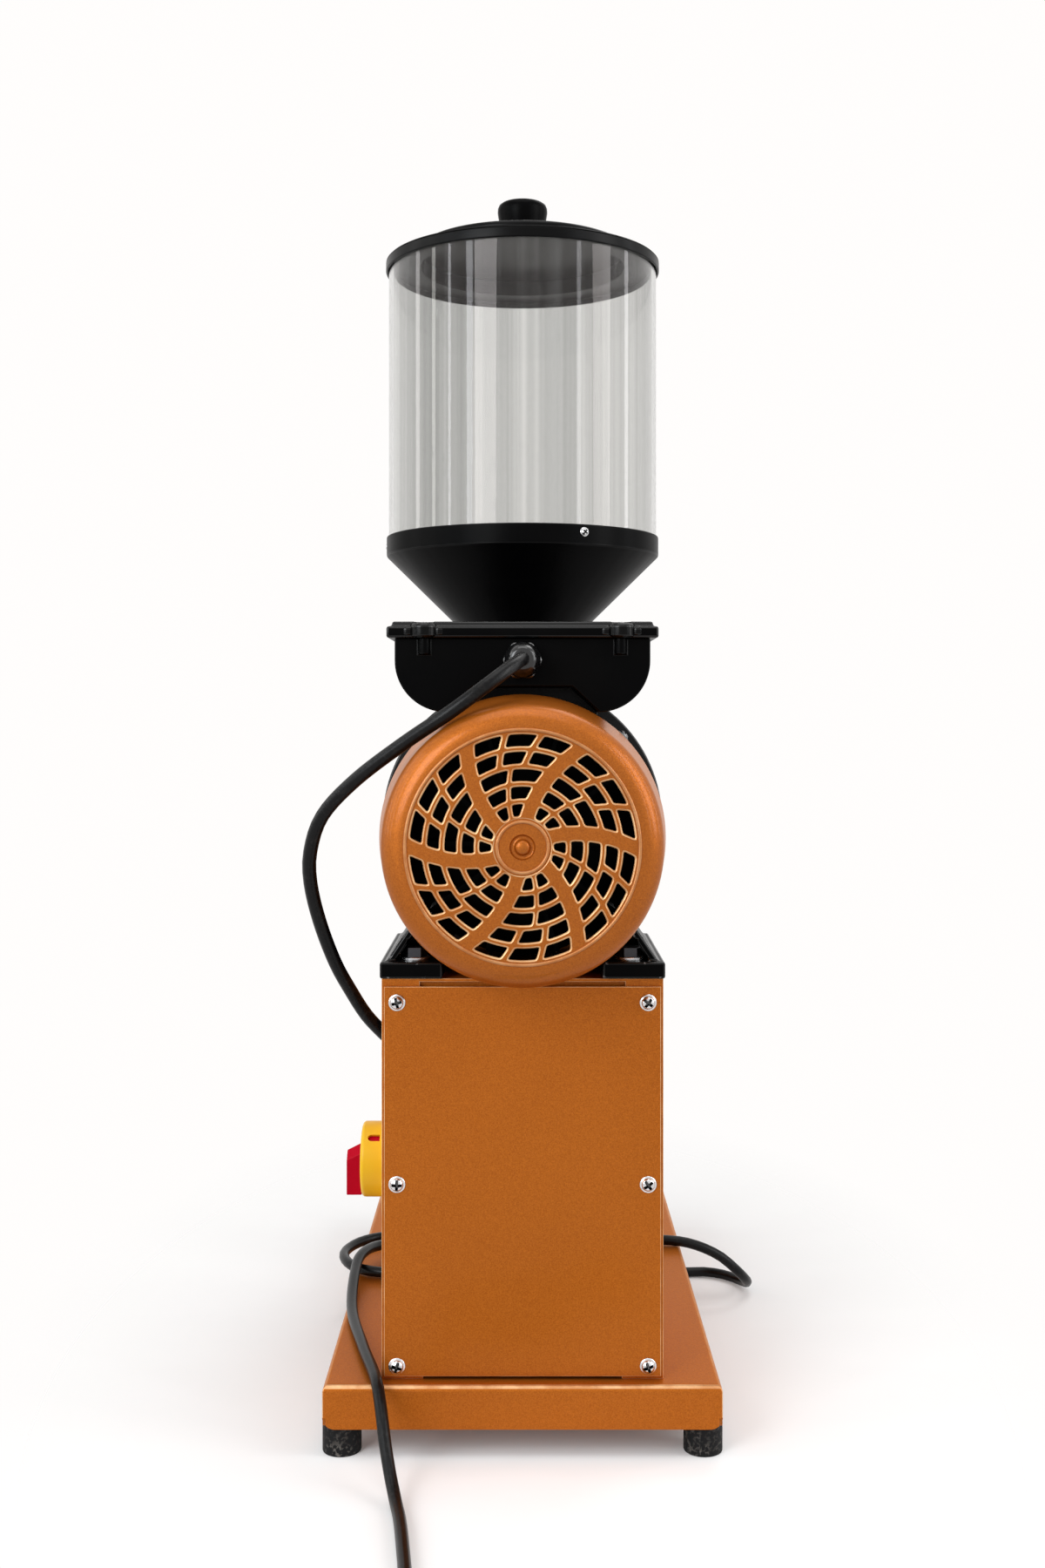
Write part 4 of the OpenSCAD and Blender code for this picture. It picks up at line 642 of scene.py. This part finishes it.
# clear tube
tube = {"outerR": 95, "innerR": 92, "chamfer": 0.4, "centreY": 50}


def makeTube():
    low, high = [corner[2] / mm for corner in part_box("hopper_tube")]
    out, bore, cut = tube["outerR"], tube["innerR"], tube["chamfer"]
    outline = [
        (bore, low), (out, low), (out, high - cut), (out - cut, high), (bore + cut, high), (bore, high - cut)]
    bm = bmesh.new()
    turned(bm, outline, (0, tube["centreY"], 0), (0, 0, 1), steps=192)
    closeUp(bm)
    return keep(bm, "hopperTube", ["hopper_tube"])


pieces["hopper_tube"] = makeTube()

# cable gland: a rounded nut and a dome, with its locknut inside the box
gland = {
    "centre": (0, -170, 455), "nutR": 12.1, "nutH": 7, "lockH": 5, "soft": 1.9, "shankR": 8, "shankEnd": 3,
    "dome": [
        (10.3, 6.5), (10.5, 8.6), (10.2, 11.6), (9.5, 14.4), (8.6, 17), (7.4, 19), (6.2, 19.8), (4.6, 20)],
}


def makeGland():
    low, high = [corner[1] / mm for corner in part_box("cable_gland")]
    x, y, z = gland["centre"]
    bm = bmesh.new()
    hexagon = ringPoints(gland["nutR"], count=6)
    pushed(bm, [(x + p.x, y, z + p.y) for p in hexagon], (0, -gland["nutH"], 0))
    pushed(bm, [(x + p.x, high, z + p.y) for p in hexagon], (0, -gland["lockH"], 0))
    softenEdges(bm, gland["soft"], degrees=30, segments=4)
    shank = [(pole, y - high), (gland["shankR"], y - high), (gland["shankR"], gland["shankEnd"])]
    turned(bm, shank + gland["dome"] + [(pole, y - low)], (x, y, z), (0, -1, 0), steps=64)
    closeUp(bm)
    return keep(bm, "cableGland", ["cable_gland"], glossBlack, smooth=50)


pieces["cable_gland"] = makeGland()

# lid knob
knob = {
    "centreY": 50, "weld": 5e-6,
    "outline": [
        (pole, 0), (14.4, 0), (13.6, 2.5), (13.4, 5), (13.8, 9), (14.9, 14), (16.3, 19), (17.2, 23),
        (17.7, 26.5), (17.5, 29.2), (16.6, 31.3), (14.8, 32.6), (12, 33), (pole, 33)],
}


def makeKnob():
    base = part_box("lid_knob")[0][2] / mm
    rise = (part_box("lid_knob")[1][2] / mm - base) / knob["outline"][-1][1]
    bm = bmesh.new()
    outline = [(r, base + h * rise) for r, h in knob["outline"]]
    turned(bm, outline, (0, knob["centreY"], 0), (0, 0, 1), steps=96)
    closeUp(bm, knob["weld"])
    return keep(bm, "lidKnob", ["lid_knob"], smooth=60)


pieces["lid_knob"] = makeKnob()

# screws: a flanged head with a cross recess, set where each solid screw is
screwSets = {
    "cover_screws": {"axis": "y", "turn": 20},
    "funnel_screws": {"axis": "hopper", "turn": 50},
    "cowl_screws": {"axis": "motor", "turn": 20, "look": dullSteel},
    "box_screws": {"axis": "z", "turn": 65, "look": dullSteel},
    "spout_screws": {"axis": "z", "turn": 15},
}
screwHead = {
    "outline": [
        (0.97, 0), (1, 0.08), (1, 0.2), (0.95, 0.28), (0.80, 0.36), (0.76, 0.52), (0.66, 0.72), (0.50, 0.88),
        (0.28, 0.97), (0.0005, 1)],
    "tip": 0.0005, "domeFrom": 4, "arm": 0.74, "slot": 0.19, "deep": 0.95, "narrow": 0.5, "above": 0.2,
    "skin": 0.06, "rimShare": 0.95, "shankDrop": 0.2, "nextTurn": 53,
}


# the points of each loose part, in the order of the mesh's own points
def islands(bm):
    seen, found = set(), []
    for start in bm.verts:
        if start in seen:
            continue
        seen.add(start)
        group, queue = [], [start]
        while queue:
            vert = queue.pop()
            group.append(vert.co / mm)
            fresh = [v for v in (e.other_vert(vert) for e in vert.link_edges) if v not in seen]
            seen.update(fresh)
            queue += fresh
        found.append(group)
    return found


# where a solid screw's head sits, which way it faces and its sizes
def screwPlace(points, kind):
    mid = sum(points, Vector()) / len(points)
    ways = {"y": (0, 1, 0), "z": (0, 0, 1), "hopper": (mid.x, mid.y - tube["centreY"], 0),
            "motor": (mid.x, 0, mid.z - cowl["axisZ"])}
    axis = Vector(ways[kind]).normalized()
    spreads = [(p - mid - axis * (p - mid).dot(axis)).length for p in points]
    heights = [(p - mid).dot(axis) for p in points]
    rim = [h for h, s in zip(heights, spreads) if s > max(spreads) * screwHead["rimShare"]]
    if sum(rim) / len(rim) < (min(heights) + max(heights)) / 2:
        axis, heights, rim = -axis, [-h for h in heights], [-h for h in rim]
    seat = min(rim)
    shank = max(s for s, h in zip(spreads, heights) if h < seat - screwHead["shankDrop"])
    return {"seat": mid + axis * seat, "axis": axis, "headR": max(spreads), "headH": max(heights) - seat,
            "shankR": shank, "length": seat - min(heights)}


def oneScrew(plan):
    r, high, above = plan["headR"], plan["headH"], screwHead["above"]
    shank = [(screwHead["tip"], -plan["length"]), (plan["shankR"], -plan["length"]), (plan["shankR"], 0)]
    head = [(r * u, high * v) for u, v in screwHead["outline"]]
    solid = bmesh.new()
    turned(solid, shank + head, (0, 0, 0), (0, 0, 1), steps=40, closed=False)
    closeUp(solid)
    arm, slot = screwHead["arm"] * r, screwHead["slot"] * r
    cross = []
    for k in range(4):
        turn = Matrix.Rotation(math.pi / 2 * k, 2)
        cross += [turn @ Vector(p) for p in ((arm, -slot), (arm, slot), (slot, slot))]
    cutter = bmesh.new()
    down = (0, 0, -screwHead["deep"] * high - above)
    lower = pushed(cutter, [(p.x, p.y, high + above) for p in cross], down)
    bmesh.ops.scale(cutter, verts=lower, vec=(screwHead["narrow"], screwHead["narrow"], 1))
    made = cutAway(solid, cutter)
    # the recess faces are marked so that the steel finish darkens them near black, as painted shade
    recess = made.faces.layers.float.new("recess")
    dome = screwHead["outline"][screwHead["domeFrom"]:]
    for face in made.faces:  # what lies under the head's own outline
        spot = face.calc_center_median() / mm
        share = max(spot.xy.length / r, dome[-1][0])
        over = [b[1] + (a[1] - b[1]) * (share - b[0]) / (a[0] - b[0])
                for a, b in zip(dome, dome[1:]) if b[0] <= share < a[0]]
        face[recess] = 1 if over and 0 < spot.z < high * (over[0] - screwHead["skin"]) else 0
    return toMesh(made, "oneScrew")


def makeScrews(name, plan):
    solid = mergedCopy(name)
    places = [screwPlace(points, plan["axis"]) for points in islands(solid)]
    solid.free()
    mesh = oneScrew(places[0])
    bm = bmesh.new()
    for i, place in enumerate(places):
        before = set(bm.verts)
        bm.from_mesh(mesh)
        turn = Matrix.Rotation(math.radians(plan["turn"] + screwHead["nextTurn"] * i), 4, "Z")
        upright = place["axis"].to_track_quat("Z", "Y").to_matrix().to_4x4()
        stand = Matrix.Translation(place["seat"] * mm) @ upright @ turn
        bmesh.ops.transform(bm, verts=[v for v in bm.verts if v not in before], matrix=stand)
    bpy.data.meshes.remove(mesh)
    return keep(bm, name + "_cut", [name], plan.get("look"), smooth=32)


for name, plan in screwSets.items():
    pieces[name] = makeScrews(name, plan)

# bright washers under the motor's foot bolts
washers = {"outerR": 8.9, "innerR": 5.5, "low": 0.1, "high": 1.7, "chamfer": 0.3, "reach": 8.8, "seat": 9.5}


def makeWashers():
    low, high = [Vector(corner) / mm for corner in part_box("foot_bolts")]
    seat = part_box("motor_feet")[0][2] / mm + washers["seat"]
    out, bore, cut = washers["outerR"], washers["innerR"], washers["chamfer"]
    under, top = washers["low"], washers["high"]
    outline = [(bore, under), (out, under), (out, top - cut), (out - cut, top), (bore, top)]
    bm = bmesh.new()
    for x, y in cornerSpots(low, high, washers["reach"]):
        turned(bm, outline, (x, y, seat), (0, 0, 1), steps=48)
    closeUp(bm)
    return keep(bm, "footWashers", [], looks["zinc_steel"], ride="frame")


makeWashers()
print("screws and washers made")

# knuckles of the terminal box's lid, round its screws: a wide one between two narrow ones
lugs = {
    "screwR": 3.6, "foot": 1, "rounding": 2.4, "slant": (0.1, 0.95), "slantWear": 0.8, "flatWear": 0.25,
    "knuckles": [
        {"shift": 0, "radius": 8.2, "below": 0.6, "above": 1.2},
        {"shift": -9.2, "radius": 4.6, "below": 1.4, "above": 2.6},
        {"shift": 9.2, "radius": 4.6, "below": 1.4, "above": 2.6}],
}


def makeLugs():
    low, high = [Vector(corner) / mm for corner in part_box("box_lid")]
    screwLow, screwHigh = [Vector(corner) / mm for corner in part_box("box_screws")]
    foot, rounding = lugs["foot"], lugs["rounding"]
    bm = bmesh.new()
    for x, y in cornerSpots(screwLow, screwHigh, lugs["screwR"]):
        for lug in lugs["knuckles"]:
            radius, base, top = lug["radius"], low.z + lug["below"], high.z - lug["above"]
            outline = [(pole, base)] + arcPoints((radius - foot, base + foot), foot, -90, 0, 3)
            outline += arcPoints((radius - rounding, top - rounding), rounding, 0, 90, 6) + [(pole, top)]
            turned(bm, outline, (x + lug["shift"], y, 0), (0, 0, 1), steps=40)
    closeUp(bm)
    edge = bm.faces.layers.float.new("edge")
    least, most = lugs["slant"]
    for face in bm.faces:
        face[edge] = lugs["slantWear"] if least < abs(face.normal.z) < most else lugs["flatWear"]
    return keep(bm, "lidKnuckles", [], lidBlack, smooth=60, ride="frame")


makeLugs()

# isolator switch: heights run along the axis, from the collar's outer end towards the column
switch = {
    "end": (-95.5, -139, 158), "collar": 22, "fillet": 2.3, "lip": 2.0, "mouth": 16.2, "hollow": 20.4,
    "hollowEnd": 11.6, "depth": 13, "shaft": 4.1, "plate": (1.5, 46, 51), "plateDrop": 2, "plateCorner": 3,
    "plateSoft": 0.3, "window": (4.2, 11.3), "windowWide": 4.4, "windowTurn": 47, "windowIn": 18,
    "windowDeep": 8, "drum": 20.0, "drumEnd": 11.2, "boss": 15.5, "clear": 0.3, "shaftClear": 0.1,
    "grip": (9, 11, 30), "gripLow": -20.4, "gripChamfer": 4.95, "gripTop": 7, "gripSlope": 4.5,
    "gripSoft": 0.5,
}


def alongX(edge):
    return abs((edge.verts[0].co - edge.verts[1].co).x) > 0.1 * mm


def makeCollar():
    end, collar, fillet = Vector(switch["end"]), switch["collar"], switch["fillet"]
    rounded = [(r, -h) for r, h in arcPoints((collar - fillet, -fillet), fillet, 0, 90, 6)]
    outline = [(collar, switch["depth"])] + rounded + [
        (switch["mouth"], 0), (switch["mouth"], switch["lip"]), (switch["hollow"], switch["lip"]),
        (switch["hollow"], switch["hollowEnd"]), (switch["shaft"], switch["hollowEnd"]),
        (switch["shaft"], switch["depth"])]
    ring = bmesh.new()
    turned(ring, outline, end, (1, 0, 0), steps=96, side=(0, 0, 1))
    closeUp(ring)
    first, last = switch["window"]
    half = switch["windowWide"] / 2
    shape = [(last, half)] + arcPoints((first + half, 0), half, 90, 270, 8) + [(last, -half)]
    cutter = bmesh.new()
    for turn in (switch["windowTurn"], switch["windowTurn"] + 180):
        t = math.radians(turn)
        out, side = Vector((0, -math.cos(t), math.sin(t))), Vector((0, math.sin(t), math.cos(t)))
        start = end + out * switch["windowIn"]
        pushed(cutter, [start + Vector((u, 0, 0)) + side * v for u, v in shape], out * switch["windowDeep"])
    bm = cutAway(ring, cutter)
    middle = Vector((switch["depth"] + switch["plate"][0] / 2, 0, -switch["plateDrop"]))
    plate = blockMesh(switch["plate"], end + middle)
    bevelEdges(plate, [e for e in plate.edges if alongX(e)], switch["plateCorner"], segments=5)
    softenEdges(plate, switch["plateSoft"], degrees=60)
    absorb(bm, plate)
    return keep(bm, "switchCollar", ["switch_plate_yellow"], smooth=35)


def makeHandle():
    end, clear = Vector(switch["end"]), switch["clear"]
    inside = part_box("switch_handle")[1][0] / mm - end.x
    shaft = switch["shaft"] - switch["shaftClear"]
    outline = [
        (pole, -clear), (switch["boss"], -clear), (switch["boss"], switch["lip"] + clear),
        (switch["drum"], switch["lip"] + clear), (switch["drum"], switch["drumEnd"]),
        (shaft, switch["drumEnd"]), (shaft, inside), (pole, inside)]
    bm = bmesh.new()
    turned(bm, outline, end, (1, 0, 0), steps=64, side=(0, 0, 1))
    closeUp(bm)
    wide, tall = switch["grip"][0], switch["grip"][2]
    grip = blockMesh(switch["grip"], end + Vector((-clear - wide / 2, 0, switch["gripLow"] + tall / 2)))
    top = max(v.co.z for v in grip.verts)
    sides = [e for e in grip.edges if alongX(e) and all(v.co.z > top - 0.01 * mm for v in e.verts)]
    bevelEdges(grip, sides, switch["gripChamfer"], segments=1)
    for vert in grip.verts:  # the top slopes down to the free end
        share = (end.x - clear - vert.co.x / mm) / wide
        if vert.co.z > top - switch["gripTop"] * mm:
            vert.co.z -= max(0, share) * switch["gripSlope"] * mm
    softenEdges(grip, switch["gripSoft"], degrees=20)
    absorb(bm, grip)
    return keep(bm, "switchHandle", ["switch_handle"], smooth=35)


pieces["switch_plate_yellow"] = makeCollar()
pieces["switch_handle"] = makeHandle()

# folded lip of the column behind the cover's upper edge
lip = {"halfWide": 66, "y": -175.2, "thick": 1.2, "drop": 13, "under": 1.8, "soft": 0.3}


def makeLip():
    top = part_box("column_shell")[1][2] / mm - lip["under"]
    bm = blockMesh((2 * lip["halfWide"], lip["thick"], lip["drop"]), (0, lip["y"], top - lip["drop"] / 2))
    softenEdges(bm, lip["soft"])
    return keep(bm, "columnLip", [], looks["orange_paint"], ride="frame")


makeLip()
print("switch and column lip made")

for name, node in nodes.items():
    if name not in pieces:
        node.data.materials.clear()
        node.data.materials.append(looks[slotOf[name]])
print("solids dressed:", len(pieces))

# cables: the same route points as the solids
motorLead = {
    "diameter": 8,
    "route": [
        (0, -190, 455), (0, -195, 455), (0, -200, 455), (-2.5, -209.5, 453), (-8.3, -220.2, 448.4),
        (-20.3, -228.8, 439), (-39.8, -229.4, 424.6), (-65.7, -221.2, 407.4), (-92.7, -212.1, 387.2),
        (-112, -203, 367.1), (-120, -194.1, 346.3), (-121, -185.8, 327.6), (-116.9, -176.8, 304.6),
        (-109.2, -166.2, 279.5), (-100.5, -157.3, 260.7), (-92.4, -151, 246.1), (-83.2, -146.5, 235),
        (-72.9, -144.9, 224.7), (-64.2, -143.9, 212.6), (-59.5, -142.2, 199.8), (-59, -142, 189),
        (-59, -142, 181)],
}
mainsLead = {
    "diameter": 7,
    "route": [
        (40, 118, 28), (46, 118, 28), (52, 118, 28), (64.7, 118, 25), (79.3, 118, 18.3), (93.6, 118, 10.7),
        (107.8, 118, 5.5), (122.2, 117.9, 4), (136.8, 118.2, 4.2), (150.2, 112.7, 4.1), (159.5, 102.7, 4),
        (163.9, 90.8, 5.7), (164.1, 79.3, 10.1), (160.4, 69.6, 16.5), (153.2, 62.9, 25), (143.1, 60.7, 34),
        (131.1, 60.1, 40.4), (118.6, 60, 44.5), (106.3, 60.8, 46), (90, 62, 46), (40, 65, 46), (-25, 71, 46),
        (-83, 73, 46), (-113, 61, 46), (-125, 31, 46), (-113, 1, 46), (-83, -11, 46), (-40, -13, 46),
        (8, -15, 46), (24.5, -10.6, 46), (36.6, 1.5, 46), (41, 18, 46), (36.6, 34.5, 46), (24.5, 46.6, 46),
        (8, 51, 46), (-30, 50.5, 46), (-68, 48, 48), (-98, 35, 51), (-110, 6, 54), (-112, -25, 51),
        (-108, -80, 46), (-95, -142, 46), (-86, -178, 46), (-81.5, -198.1, 44.6), (-78.2, -212.2, 35.9),
        (-75.1, -223.7, 23.3), (-71.5, -234.9, 11.8), (-67.5, -249.2, 4.3), (-63, -275, 4), (-56, -335, 4),
        (-54, -362, 5), (-54, -369, 5), (-54, -376, 5)],
    "coilCentre": (-10, -388, 5), "coilRadius": 44, "coilGap": 0.8, "coilTurns": 1.375, "climbTurns": 0.5,
    "turnPoints": 24, "tail": 24,
}


# the coil's lower layer winds in, climbs and winds out again on top
def coilRoute(lead):
    pitch = lead["diameter"] + lead["coilGap"]
    total = 2 * lead["coilTurns"] + lead["climbTurns"]
    x, y, z = lead["coilCentre"]
    points = []
    for i in range(int(total * lead["turnPoints"]) + 1):
        t = i / lead["turnPoints"]
        radius = lead["coilRadius"] - pitch * min(t, total - t)
        climb = pitch * min(max((t - lead["coilTurns"]) / lead["climbTurns"], 0), 1)
        turn = 2 * math.pi * t
        points.append((x - radius * math.cos(turn), y - radius * math.sin(turn), z + climb))
    last = points[-1]
    return points + [(last[0] + lead["tail"] * share, last[1], last[2]) for share in (0.5, 1)]


# a Catmull-Rom curve through the route's points, as the solids have it
def smoothRoute(route, step=6):
    p = [Vector(point) for point in route]
    made = []
    for i in range(len(p) - 1):
        a, b, c, d = p[max(i - 1, 0)], p[i], p[i + 1], p[min(i + 2, len(p) - 1)]
        count = max(round((c - b).length / step), 1)
        for k in range(count):
            t = k / count
            made.append(b + (c - a) * t / 2 + (2 * a - 5 * b + 4 * c - d) * t * t / 2
                        + (3 * b - a - 3 * c + d) * t * t * t / 2)
    return [point * mm for point in made + [p[-1]]]


def layCable(name, lead, points, hides):
    curve = bpy.data.curves.new(name, "CURVE")
    curve.dimensions = "3D"
    curve.bevel_depth = lead["diameter"] * mm / 2
    curve.bevel_resolution = 5
    curve.use_fill_caps = True
    spline = curve.splines.new("POLY")
    spline.points.add(len(points) - 1)
    for spot, point in zip(spline.points, points):
        spot.co = (*point, 1)
    curve.materials.append(looks["cable_sheath"])
    cable = bpy.data.objects.new(name, curve)
    bpy.context.collection.objects.link(cable)
    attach(cable, "frame")
    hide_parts(*hides)
    length = sum((b - a).length for a, b in zip(points, points[1:]))
    print(name, "is", round(length, 4), "m long")
    return cable, length


motorPoints = smoothRoute(motorLead["route"])
motorCable, motorLength = layCable("motorCable", motorLead, motorPoints, ["motor_cable"])
mainsPoints = smoothRoute(mainsLead["route"] + coilRoute(mainsLead))
mainsCable, mainsLength = layCable("mainsCable", mainsLead, mainsPoints, ["mains_lead", "mains_coil"])
